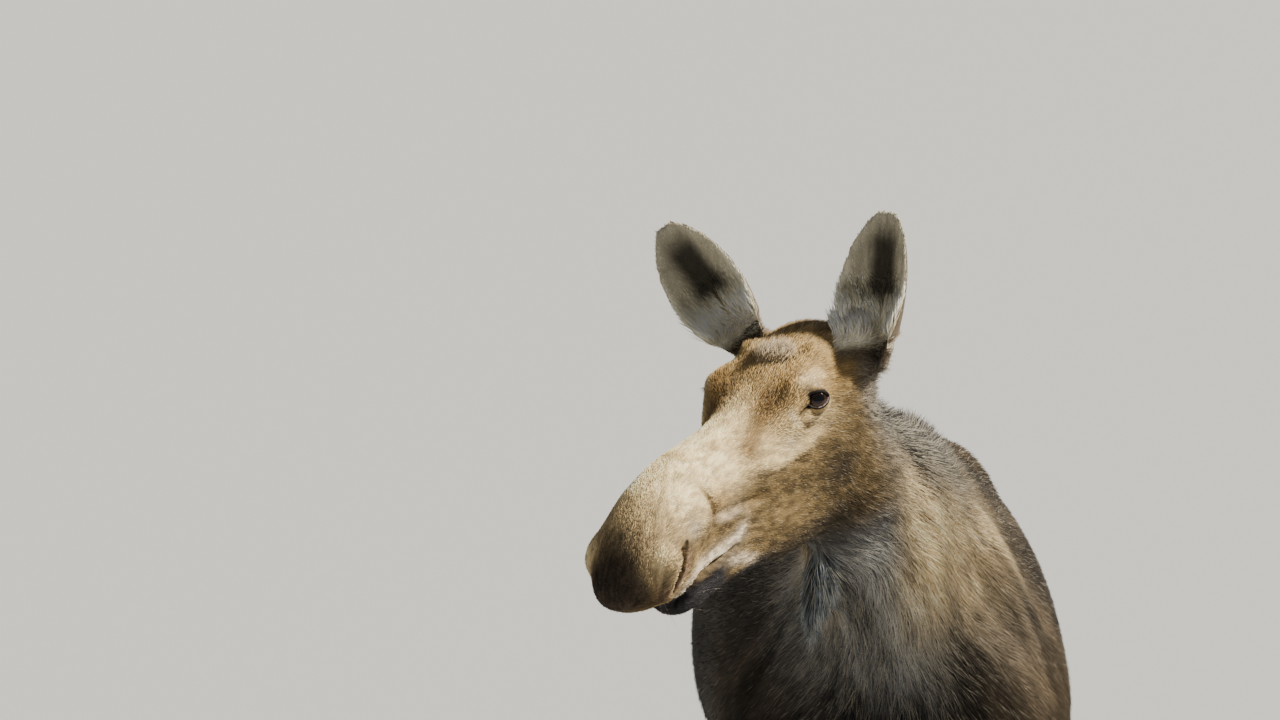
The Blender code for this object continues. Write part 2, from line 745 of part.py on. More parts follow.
def main():
    clear_scene()
    body = thinned(flesh())
    trunk = body
    trunk.name = "trunk"
    head = part_head(body)
    part_legs(body)
    tail(trunk)
    for side in ("left", "right"):
        sign = 1 if side == "left" else -1
        lobe = ear(side)
        skin = grown(head, CUT_GAP)
        boolean(lobe, skin, "DIFFERENCE")
        keep_largest(lobe)
        bpy.data.objects.remove(skin)
        at = head_matrix() @ Vector((sign * EYE_AT.x, EYE_AT.y, EYE_AT.z))
        for name, radius in ((f"eye_{side}", EYE_RADIUS), ("socket", EYE_RADIUS + CUT_GAP)):
            bm = bmesh.new()
            bmesh.ops.create_icosphere(bm, subdivisions=3, radius=radius,
                                       matrix=Matrix.Translation(at))
            made = object_from(bm, name, EYE)
        boolean(head, made, "DIFFERENCE")
        bpy.data.objects.remove(made)
    stand_at_origin()


main()
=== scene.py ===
import math
from functools import partial

import bmesh
import bpy
import numpy as np
from mathutils import Matrix, Vector


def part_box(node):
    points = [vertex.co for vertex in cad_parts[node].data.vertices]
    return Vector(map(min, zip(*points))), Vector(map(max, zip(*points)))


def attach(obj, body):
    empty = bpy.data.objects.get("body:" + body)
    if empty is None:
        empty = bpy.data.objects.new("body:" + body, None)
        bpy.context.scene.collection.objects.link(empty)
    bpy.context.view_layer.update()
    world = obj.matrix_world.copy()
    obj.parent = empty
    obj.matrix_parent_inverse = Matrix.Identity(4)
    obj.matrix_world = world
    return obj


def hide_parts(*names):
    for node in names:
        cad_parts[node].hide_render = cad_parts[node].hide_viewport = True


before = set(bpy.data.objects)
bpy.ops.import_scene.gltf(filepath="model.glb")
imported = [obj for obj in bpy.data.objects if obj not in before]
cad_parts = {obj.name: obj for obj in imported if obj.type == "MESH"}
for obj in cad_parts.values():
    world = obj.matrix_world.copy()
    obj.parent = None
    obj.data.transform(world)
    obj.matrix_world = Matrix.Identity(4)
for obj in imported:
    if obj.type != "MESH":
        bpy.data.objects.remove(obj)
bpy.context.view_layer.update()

# ============ hide
# The hide is one unbroken skin from nose to tail and down to the hooves, drawn over the
# flesh.  It lies under the tips of the coat by the coat's depth, and over the skull it is
# creased into lids, nostrils, lips and the folds of the muzzle.
HIDE_VOXEL = 0.0052
SWELL = 0.0008
BODY_EASING, LEG_EASING, HEAD_EASING, EAR_EASING = 1.0, 0.3, 0.2, 0.05
EASING_ROUNDS = 70
THINNING, THINNING_SHARE = 0.27, 0.003
BODY_MIDDLE = 0.122

# The head is turned to the animal's right and a little down.  Its own frame has x to the
# left, -y to the nose and z to the crown, with the poll at its origin.
HEAD_YAW, HEAD_PITCH, HEAD_ROLL = -39.0, 17.5, -6.0
HEAD_SCALE = 1.03
EYE_SEAT = np.array((0.097, -0.177, -0.053))

head_turn = np.array(Matrix.Rotation(math.radians(HEAD_YAW), 3, "Z")
                     @ Matrix.Rotation(math.radians(HEAD_PITCH), 3, "X")
                     @ Matrix.Rotation(math.radians(HEAD_ROLL), 3, "Y"))
left_eye = np.mean(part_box("eye_left"), axis=0)
poll = left_eye - head_turn @ (EYE_SEAT * HEAD_SCALE)


def in_head(points):
    """Places of the part's frame, told in the head's own frame."""
    return (points - poll) @ head_turn / HEAD_SCALE


def from_head(points):
    """Places of the head's own frame, told in the part's frame."""
    return np.asarray(points) * HEAD_SCALE @ head_turn.T + poll


def flip_of(own):
    """What turns places of the right half of the head over to the left, and back."""
    return np.where(own[:, :1] < 0, (-1.0, 1.0, 1.0), (1.0, 1.0, 1.0))


def mirrored(own):
    """Both halves of the head folded onto its left side."""
    return own * flip_of(own)


def unit(vectors):
    return vectors / np.maximum(np.linalg.norm(vectors, axis=-1, keepdims=True), 1e-9)


def ramp(values, start, end):
    """0 before start, 1 past end, and smooth between."""
    t = np.clip((values - start) / (end - start), 0.0, 1.0)
    return t * t * (3 - 2 * t)


def fall(values, start, end):
    """1 before start, 0 past end, and smooth between."""
    return 1 - ramp(values, start, end)


def drawn(value, *steps):
    """A measure drawn towards others in turn, each by its share at each place."""
    for wanted, share in steps:
        value = value + (wanted - value) * share
    return value


def hill(points, centre, radii):
    """A soft mound that is 1 at its centre and fades out past its radii."""
    return np.exp(-(((points - centre) / radii) ** 2).sum(1))


def nearest_on(points, line):
    """How far each point is from a line of points, where on the line, and at what share."""
    line = np.asarray(line, float)
    best = np.full(len(points), np.inf)
    spot = np.zeros_like(points)
    share = np.zeros(len(points))
    for k in range(len(line) - 1):
        step = line[k + 1] - line[k]
        t = np.clip((points - line[k]) @ step / (step @ step), 0, 1)
        here = line[k] + t[:, None] * step
        away = np.linalg.norm(points - here, axis=1)
        closer = away < best
        best[closer], spot[closer] = away[closer], here[closer]
        share[closer] = (k + t[closer]) / (len(line) - 1)
    return best, spot, share


def groove(points, line, width, fade=0.25):
    """1 in the bed of a crease along a line, 0 past its width, shallower at both ends."""
    away, _, share = nearest_on(points, line)
    ends = ramp(share, -0.01, fade) * fall(share, 1 - fade, 1.01)
    return np.exp(-(away / width) ** 2) * (0.25 + 0.75 * ends)


# For each ear: its root in the head's frame, where its tip points and where its hollow looks.
# Its own frame runs across it, towards its back, and along it to the tip.
EARS = {"left": ((0.095, -0.004, -0.099), (0.04, 0.1, 1.0), (-0.62, -0.78, 0.12)),
        "right": ((-0.106, -0.03, -0.058), (-0.65, 0.16, 0.83), (-0.1, -1.0, -0.1))}
EAR_LENGTH = 0.268
EAR_BASE_SHARE = 0.17
EAR_HALF = 0.12
EAR_MARGIN = 0.006


def ears(points):
    """For each ear: its side, the places in its own frame, and its axes."""
    for side, (root, along, opening) in EARS.items():
        along = unit(np.array(along))
        opening = unit(opening - np.dot(opening, along) * along)
        axes = np.array((np.cross(opening, along), -opening, along)).T
        yield side, (points - from_head(root)) @ axes, axes


def by_ear(own):
    """True near the middle line of an ear, from places in its own frame."""
    return np.abs(own[:, :2]).max(1) < EAR_HALF


def on_ear(points, start=EAR_BASE_SHARE):
    """1 on the leaf of either ear, fading to 0 where it grows out of the head."""
    found = np.zeros(len(points))
    for side, own, _ in ears(points):
        low, high = (np.array(corner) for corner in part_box(f"ear_{side}"))
        inside = ((points > low - EAR_MARGIN) & (points < high + EAR_MARGIN)).all(1)
        found = np.maximum(found, ramp(own[:, 2] / EAR_LENGTH, start, start + 0.1) * inside)
    return found


def ear_root(points):
    """1 on the thick base of either ear, where it grows out of the head."""
    away = (np.linalg.norm(own * (1.0, 1.0, 0.75), axis=1) for _, own, _ in ears(points))
    return fall(np.minimum(*away), 0.05, 0.066)


def into_ear(own, normals, axes):
    """Above 0 where the surface looks into the hollow of its ear, below 0 on its back."""
    aside = -(normals @ axes[:, 0]) * np.sign(own[:, 0]) * ramp(np.abs(own[:, 0]), 0.0, 0.02)
    return aside - normals @ axes[:, 1]


def facing(points):
    """1 over the face, cheeks and jaw, 0 from the neck back."""
    own = in_head(points)
    return fall(own[:, 1], -0.06, 0.06) * ramp(own[:, 2], -0.36, -0.3)


def mane(points):
    """1 along the crest of the neck and over the hump, 0 away from it."""
    x, y, z = points.T
    middle = np.interp(y, (-0.62, -0.35, -0.1), (0.0, 0.1, BODY_MIDDLE))
    crest = fall(np.abs(x - middle), 0.04, 0.15)
    along = ramp(y, -0.66, -0.54) * fall(y, 0.1, 0.45)
    return crest * along * ramp(z, 1.5, 1.7) * (1 - facing(points))


# The bell is the small dewlap that hangs at the throat, just behind the jaw
BELL_SEAT = np.array((-0.073, -0.676, 1.61))
BELL_RADII = np.array((0.045, 0.07, 0.105))


def on_bell(points):
    return ramp(hill(points, BELL_SEAT, BELL_RADII), 0.25, 0.65)


def lower_leg(points):
    return fall(points[:, 2], 0.72, 1.02)


def coat_depth(points):
    """How far the skin lies under the tips of the coat."""
    muzzle = fall(in_head(points)[:, 1], -0.46, -0.34)
    return drawn(0.017 + 0.012 * mane(points), (0.007, lower_leg(points)),
                 (0.001, fall(points[:, 2], 0.1, 0.17)),
                 (0.0045 - 0.002 * muzzle, facing(points)),
                 (0.006, on_bell(points)), (0.0012, on_ear(points)))


def read(items, name, size=3, kind=np.float32):
    """One property of all the items of a mesh, a row for each."""
    found = np.empty(len(items) * size, kind)
    items.foreach_get(name, found)
    return found.reshape(-1, size)


def write(items, name, values, kind=np.float32):
    items.foreach_set(name, values.astype(kind).ravel())


def points_of(mesh):
    return read(mesh.vertices, "co").astype(float)


def normals_of(mesh):
    return read(mesh.vertex_normals, "vector").astype(float)


def edges_of(mesh):
    return read(mesh.edges, "vertices", 2, np.int32)


def set_points(mesh, points):
    write(mesh.vertices, "co", points)
    mesh.update()


def from_neighbours(edges, values, hold=1.0):
    """For each point, the sum of the values of those that it shares an edge with."""
    ahead = np.bincount(edges[:, 0], hold * values[edges[:, 1]], len(values))
    return ahead + np.bincount(edges[:, 1], hold * values[edges[:, 0]], len(values))


def eased(points, edges, weight, rounds):
    """Draws each point towards the middle of its neighbours, by its weight, some rounds."""
    share = 1.0 / np.maximum(np.bincount(edges.ravel(), minlength=len(points)), 1)
    for _ in range(rounds):
        middle = np.stack([from_neighbours(edges, axis) * share for axis in points.T], 1)
        points = drawn(points, (middle, (0.6 * weight)[:, None]))
    return points


link = bpy.context.scene.collection.objects.link


def after(mesh, kind, settings, weights=None):
    """A new mesh of the same name: this one with one modifier applied to it."""
    name = mesh.name
    obj = bpy.data.objects.new(name, mesh)
    link(obj)
    if weights is not None:
        group = obj.vertex_groups.new(name="kept")
        for level in np.unique(weights):
            group.add(np.nonzero(weights == level)[0].tolist(), float(level), "REPLACE")
    modifier = obj.modifiers.new(name, kind)
    for key, value in settings.items():
        setattr(modifier, key, value)
    bpy.context.view_layer.update()
    result = bpy.data.meshes.new_from_object(
        obj.evaluated_get(bpy.context.evaluated_depsgraph_get()))
    bpy.data.objects.remove(obj)
    bpy.data.meshes.remove(mesh)
    result.name = name
    return result


def mesh_of(bm, name):
    mesh = bpy.data.meshes.new(name)
    bm.to_mesh(mesh)
    bm.free()
    return mesh


def merged_copy(names, name, swell=0.0):
    """One mesh of merged copies of the named solids, each grown outward by the swell."""
    bm = bmesh.new()
    for node in names:
        bm.from_mesh(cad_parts[node].data)
    bmesh.ops.remove_doubles(bm, verts=bm.verts, dist=1e-5)
    bm.normal_update()
    for vert in bm.verts:
        vert.co += vert.normal * swell
    mesh = mesh_of(bm, name)
    mesh.materials.clear()
    return mesh


flesh = [name for name in sorted(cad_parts)
         if not (name.startswith("eye") or "hoof" in name or "dewclaw" in name)]
hide = merged_copy(flesh + ["eye_left", "eye_right"], "hide", SWELL)
hide = after(hide, "REMESH", {"mode": "VOXEL", "voxel_size": HIDE_VOXEL})
points = points_of(hide)
easing = drawn(BODY_EASING, (LEG_EASING, lower_leg(points)), (HEAD_EASING, facing(points)),
               (EAR_EASING, on_ear(points))) * (1 - 0.9 * on_bell(points))
hollow = hill(mirrored(in_head(points)), (0.07, -0.228, -0.036), (0.032, 0.034, 0.028))
easing = drawn(easing, (1, ramp(hollow, 0.1, 0.6))) * ramp(points[:, 2], 0.06, 0.16)
points = eased(points, edges_of(hide), easing, EASING_ROUNDS)
set_points(hide, points)
set_points(hide, points - normals_of(hide) * coat_depth(points)[:, None])

points = points_of(hide)
own = in_head(points)
keep = np.maximum(np.round(facing(points) * fall(own[:, 1], -0.06, 0.03), 1),
                  np.ceil(on_ear(points)) * 0.9)
keep = np.maximum(keep, 0.3 * lower_leg(points).round(0))
hide = after(hide, "DECIMATE",
             {"ratio": THINNING, "vertex_group": "kept", "invert_vertex_group": True,
              "vertex_group_factor": THINNING_SHARE}, keep)

# Lids, corner of the eye, folds and openings, in the head's own frame, on the left side.
# The right side mirrors them.
EYE_OUT = unit((0.76, -0.55, 0.34))
EYE_SLIT = unit((0.607, 0.791, -0.078))
EYE_UP = np.cross(EYE_OUT, EYE_SLIT)
BALL_RADIUS = 0.0215 / HEAD_SCALE
BALL_SINK = 0.005
BALL_CENTRE = EYE_SEAT - EYE_OUT * BALL_SINK
LID_THICKNESS = 0.0026
SLIT_HALF = 0.018
LID_RISE, LID_DROP = 0.0082, 0.0112
NOSTRIL = [(0.081, -0.543, -0.107), (0.084, -0.56, -0.119), (0.082, -0.575, -0.134),
           (0.076, -0.586, -0.15), (0.068, -0.591, -0.162)]
NOSTRIL_DEPTH = 0.022
MOUTH = [(0.057, -0.406, -0.191), (0.055, -0.439, -0.192),
         (0.054, -0.486, -0.187), (0.052, -0.512, -0.191), (0.042, -0.536, -0.204),
         (0.022, -0.551, -0.22), (0.0, -0.556, -0.226)]
UPPER_LIP = [(0.06, -0.378, -0.162), (0.059, -0.402, -0.176), (0.058, -0.44, -0.178),
             (0.061, -0.49, -0.17), (0.066, -0.528, -0.168), (0.058, -0.552, -0.186),
             (0.036, -0.572, -0.205), (0.0, -0.585, -0.212)]
LOWER_LIP = [(0.055, -0.396, -0.207), (0.054, -0.439, -0.203), (0.052, -0.486, -0.199),
             (0.048, -0.512, -0.204), (0.036, -0.535, -0.219)]
NOSTRIL_FOLD = [(0.052, -0.478, -0.048), (0.063, -0.456, -0.064), (0.068, -0.447, -0.088),
                (0.07, -0.449, -0.11), (0.07, -0.46, -0.127), (0.072, -0.482, -0.137),
                (0.073, -0.505, -0.142)]
CHEEK_FOLD = [(0.071, -0.452, -0.116), (0.067, -0.412, -0.127), (0.065, -0.365, -0.137),
              (0.068, -0.32, -0.146)]
CHEEK_CREST = [(0.074, -0.34, -0.098), (0.08, -0.283, -0.108), (0.082, -0.231, -0.113),
               (0.086, -0.19, -0.113)]
TEAR = [(0.0, -0.194, -0.051), (0.0, -0.205, -0.053), (0.0, -0.216, -0.055),
        (0.0, -0.228, -0.06)]
TEAR_EDGE = [(0.0, -0.231, -0.044), (0.0, -0.235, -0.058), (0.0, -0.231, -0.074)]
POUCH = [(0.094, -0.224, -0.07), (0.092, -0.207, -0.086), (0.092, -0.19, -0.093),
         (0.093, -0.162, -0.098)]
BROW = [(0.082, -0.222, -0.026), (0.09, -0.205, -0.014), (0.094, -0.178, -0.014),
        (0.092, -0.15, -0.022), (0.09, -0.124, -0.04)]


def lid_share(own):
    """How far out from the middle of the eye's opening, where 1 is the edge of the lids; how
    far from the ball's centre; and how far along the slit and up, round the ball."""
    away = mirrored(own) - BALL_CENTRE
    reach = np.linalg.norm(away, axis=1)
    out, along, up = away @ EYE_OUT, away @ EYE_SLIT, away @ EYE_UP
    turned = np.arctan2(np.hypot(along, up), out) * BALL_RADIUS
    flat = np.maximum(np.hypot(along, up), 1e-6)
    u, v = along / flat * turned, up / flat * turned
    open_to = np.where(v > 0, LID_RISE, LID_DROP)
    share = (np.abs(u / SLIT_HALF) ** 2 + np.abs(v / open_to) ** 1.5) ** 0.55
    return share + 3 * ramp(reach, BALL_RADIUS + 0.008, BALL_RADIUS + 0.018), reach, u, v


def refined(mesh, wanted):
    """Splits every face whose corners are all wanted into four."""
    bm = bmesh.new()
    bm.from_mesh(mesh)
    bm.verts.ensure_lookup_table()
    edges = [e for e in bm.edges if wanted[e.verts[0].index] and wanted[e.verts[1].index]]
    bmesh.ops.subdivide_edges(bm, edges=edges, cuts=1, use_grid_fill=True)
    bmesh.ops.triangulate(bm, faces=[f for f in bm.faces if len(f.verts) > 4])
    bm.to_mesh(mesh)
    bm.free()
    mesh.update()


def near_lines(points, *lines):
    return np.minimum.reduce([nearest_on(points, line)[0] for line in lines])


def head_only(points):
    """1 on the head in front of the poll, without the ears."""
    return fall(in_head(points)[:, 1], -0.05, 0.03) * (1 - on_ear(points))


left = mirrored(in_head(points_of(hide)))
refined(hide, (np.linalg.norm(left - EYE_SEAT, axis=1) < 0.05)
        | (near_lines(left, NOSTRIL, MOUTH) < 0.02)
        | (near_lines(left, NOSTRIL_FOLD, UPPER_LIP) < 0.008))
left = mirrored(in_head(points_of(hide)))
refined(hide, np.linalg.norm(left - EYE_SEAT, axis=1) < 0.036)
points = points_of(hide)
soft = head_only(points) * ramp(in_head(points)[:, 2], -0.36, -0.33)
set_points(hide, eased(points, edges_of(hide), soft * 0.8, 4))

# Mounds and creases, each with its height or depth
own = in_head(points_of(hide))
side = flip_of(own)
left = mirrored(own)
mound, fold = partial(hill, left), partial(groove, left)
NOSTRIL_BACK = unit((-0.15, 0.9, 0.42))
NOSTRIL_WING = unit((-0.15, -0.9, -0.3))
away, spot, share = nearest_on(left, NOSTRIL)
behind = (left - spot) @ NOSTRIL_BACK
wall = np.where(behind < 0, np.exp(-(away / 0.0085) ** 2), np.exp(-(away / 0.0034) ** 2))
ends = ramp(share, -0.05, 0.3) * (1 - 0.75 * ramp(share, 0.6, 1.0))
relief = (
    (0.0095, mound((0.077, -0.59, -0.118), (0.022, 0.02, 0.034))),
    (0.007, mound((0.058, -0.602, -0.172), (0.018, 0.018, 0.013))),
    (0.008, mound((0.071, -0.492, -0.088), (0.03, 0.03, 0.034))),
    (0.006, mound((0.07, -0.112, -0.006), (0.022, 0.016, 0.02))),
    (0.004, mound((0.097, -0.194, -0.077), (0.02, 0.022, 0.008))),
    (-0.003, fold(POUCH, 0.0055)),
    (0.003, mound((0.08, -0.15, -0.19), (0.03, 0.06, 0.05))),
    (0.0022, fold(BROW, 0.011)),
    (0.007, fold(CHEEK_CREST, 0.011)),
    (0.006, fold(UPPER_LIP, 0.008)),
    (0.003, fold(LOWER_LIP, 0.006)),
    (0.0045, groove(left + (0, 0.004, 0.012), CHEEK_FOLD, 0.0085)),
    (-0.0095, fold(NOSTRIL_FOLD, 0.0085)),
    (-0.008, fold(CHEEK_FOLD, 0.007)),
    (-0.004, groove(left * (0, 1, 1), TEAR, 0.0034)),
    (-0.004, groove(left + (0, 0, 0.018), CHEEK_CREST, 0.009)),
    (-0.014, fold(MOUTH, 0.0042, 0.12)),
    (-NOSTRIL_DEPTH, wall * ends),
    (0.01, groove(left - NOSTRIL_WING * 0.015, NOSTRIL, 0.01)),
    (0.003, groove(left + NOSTRIL_WING * 0.006, NOSTRIL, 0.005)),
)
raised = sum(height * form for height, form in relief)
own = own + unit(normals_of(hide) @ head_turn) * raised[:, None]

# The lids wrap the eyeball; inside their edge the hide dips behind it
share, reach, _, height = lid_share(own)
outward = mirrored(own) - BALL_CENTRE
behind_ball = BALL_RADIUS - 0.006
upper = ramp(height, -0.002, 0.006)
crease = 0.0016 * np.exp(-((share - 1.75) / 0.16) ** 2) * (0.4 + 0.6 * upper)
lid = (BALL_RADIUS + LID_THICKNESS
       + (0.0012 * upper - 0.0004) * np.exp(-((share - 1.25) / 0.25) ** 2) - crease)
wanted_reach = drawn(behind_ball, (lid, ramp(share, 0.93, 1.07)))
new_reach = drawn(reach, (wanted_reach, fall(share, 1.25, 2.2)))
covering = (share > 1.05) & (reach < 0.06)
new_reach = np.where(covering, np.maximum(new_reach, BALL_RADIUS + 0.0016), new_reach)
set_points(hide, from_head((BALL_CENTRE + unit(outward) * new_reach[:, None]) * side))
points = points_of(hide)
set_points(hide, eased(points, edges_of(hide), 0.3 * head_only(points), 1))

# Places where the hair grows, and which way, on the left side; the right side mirrors it
HEAD_LIE = [
    (0, -0.66, -0.12, 0, 0.2, 1), (0.04, -0.64, -0.17, 0.2, 0.5, 0.4), (0, -0.59, -0.06, 0, 1, 0.6),
    (0, -0.45, -0.02, 0, 1, 0), (0.075, -0.56, -0.09, 0, 1, 0.1), (0.08, -0.48, -0.11, 0, 1, -0.2),
    (0.055, -0.52, -0.18, 0, 1, 0), (0, -0.5, -0.24, 0, 1, -0.1), (0.06, -0.34, -0.07, 0.1, 1, -0.1),
    (0.075, -0.32, -0.14, 0, 0.9, -0.3), (0.06, -0.25, -0.24, 0, 0.8, -0.5), (0, -0.25, -0.32, 0, 1, 0),
    (0, -0.28, -0.01, 0, 1, 0.1), (0, -0.14, 0.01, 0, 1, 0.1), (0.085, -0.215, -0.02, 0.3, 0.8, 0.5),
    (0.095, -0.15, -0.005, 0.1, 1, -0.1), (0.09, -0.22, -0.09, 0, 1, -0.3),
    (0.095, -0.11, -0.08, 0, 0.8, -0.5), (0.08, -0.12, -0.2, 0, 0.6, -0.8), (0, -0.02, 0, 0, 1, -0.3),
]
BODY_LIE = [
    (-0.1, -0.62, 1.6, 0.1, 0.15, -1), (0, -0.6, 1.25, 0, 0.05, -1), (0, -0.5, 1.02, 0, 0.3, -1),
    (0.02, -0.42, 1.75, 0.1, 0.45, -0.9), (-0.06, -0.4, 1.98, 0.1, 0.9, -0.5),
    (0, -0.05, 1.82, 0, 1, -0.1), (0.2, -0.3, 1.55, 0.15, 0.5, -0.85), (0.3, -0.25, 1.35, 0, 0.5, -0.85),
    (0.3, -0.3, 1.08, 0, 0.35, -0.95), (0.33, 0.25, 1.4, 0, 0.85, -0.5), (0.1, 0.4, 1.76, 0.15, 1, -0.1),
    (0.3, 0.6, 1.3, 0, 0.8, -0.6), (0, 0.2, 1, 0, 1, 0), (0.12, 0.92, 1.62, 0.15, 0.8, -0.6),
    (0.1, 1.02, 1.35, 0, 0.2, -1), (0.27, 0.85, 1.2, 0, 0.4, -0.9), (0.16, -0.28, 0.8, 0, 0.15, -1),
    (0.15, -0.27, 0.4, 0, 0.1, -1), (0.15, -0.29, 0.1, 0, 0, -1), (0.16, 0.8, 0.85, 0, 0.3, -1),
    (0.14, 0.88, 0.45, 0, 0, -1), (0.14, 0.8, 0.1, 0, 0, -1),
]


def lie_guides():
    """All places and directions of the coat's lie, both sides, in the part's frame."""
    for flip in ((1, 1, 1), (-1, 1, 1)):
        for row in HEAD_LIE:
            place, way = np.reshape(row, (2, 3)) * flip
            yield from_head(place), unit(head_turn @ way)
        for row in BODY_LIE:
            place, way = np.reshape(row, (2, 3)) * flip
            yield place + (BODY_MIDDLE, 0, 0), unit(way)


def flow(points, normals):
    """The way the coat lies, along the hide, at each place."""
    way = np.zeros_like(points)
    for place, direction in lie_guides():
        near = 1 / (((points - place) ** 2).sum(1) + 0.0004) ** 1.5
        way += near[:, None] * direction
    way = unit(way)
    leaf = on_ear(points)
    for _, own, axes in ears(points):
        fanned = axes[:, 2] + np.sign(own[:, :1]) * 0.35 * axes[:, 0]
        way = drawn(way, (fanned, (leaf * by_ear(own))[:, None]))
    way = drawn(way, (np.array((0.0, 0.12, -1.0)), on_bell(points)[:, None]))
    way -= normals * (way * normals).sum(1)[:, None]
    return unit(way)


def streaks(mesh, points, ways, rounds, seed):
    """Random tones drawn out along the lie of the coat, one for each point of the mesh."""
    edges = edges_of(mesh)
    step = unit(points[edges[:, 1]] - points[edges[:, 0]])
    hold = np.abs((step * unit(ways[edges].mean(1))).sum(1)) ** 8 + 0.002
    total = np.bincount(edges.ravel(), np.repeat(hold, 2), len(points))
    tone = np.random.default_rng(seed).normal(size=len(points))
    for _ in range(rounds):
        tone += 0.7 * (from_neighbours(edges, tone, hold) / total - tone)
    return tone / tone.std()


# Markings, the same on skin and coat: the colours, and where on the animal they lie.  Some of
# them are painted light and shade, each said where it is laid.
TAN = (0.78, 0.59, 0.32)
OLIVE = (0.145, 0.099, 0.043)
GOLD = (0.285, 0.185, 0.07)
RUFOUS = (0.215, 0.12, 0.034)
STRIPE = (0.155, 0.094, 0.036)
NOSE_BROWN = (0.046, 0.034, 0.023)
PALE = (0.56, 0.46, 0.33)
DARK_BROWN_AND_SHADE = (0.034, 0.026, 0.018)
CHIN = (0.022, 0.02, 0.021)
NOSTRIL_TAN = (0.16, 0.1, 0.062)
FORELOCK = (0.27, 0.21, 0.135)
LID_DARK = (0.012, 0.009, 0.008)
LID_GREY = (0.034, 0.028, 0.027)
WET_RIM_HIGHLIGHT = (0.5, 0.44, 0.4)
ASH = (0.33, 0.29, 0.24)
THROAT = (0.125, 0.124, 0.117)
NECK_TAN = (0.5, 0.37, 0.195)
MANE_GREY = (0.036, 0.035, 0.033)
BELL_GREY = (0.092, 0.104, 0.11)
BODY_DARK = (0.0048, 0.0045, 0.0044)
SHOULDER = (0.09, 0.066, 0.04)
SHANK = (0.27, 0.215, 0.155)
EAR_BACK = (0.16, 0.125, 0.085)
EAR_LINING_LIT = (0.95, 0.86, 0.62)
EAR_STEM_LIT = (0.32, 0.265, 0.19)
EAR_RIM = (0.48, 0.41, 0.27)
EAR_SHADE = (0.052, 0.047, 0.034)


def forelock(own):
    """1 on the tuft of long hair in the middle of the forehead."""
    return ramp(hill(own, (0.006, -0.146, 0.004), (0.046, 0.027, 0.034)), 0.3, 0.75)


def stained(colour, *stains):
    """A colour with others laid over it in turn, each by its own share at each place."""
    return drawn(colour, *((np.array(stain), np.clip(share, 0, 1)[:, None])
                           for stain, share in stains))


DARK_STRIPE = [(0.044, -0.205, -0.016), (0.052, -0.262, -0.042), (0.057, -0.307, -0.057),
               (0.064, -0.345, -0.075)]
LIP_CORNER = [(0.055, -0.44, -0.203), (0.055, -0.407, -0.213), (0.048, -0.366, -0.238)]


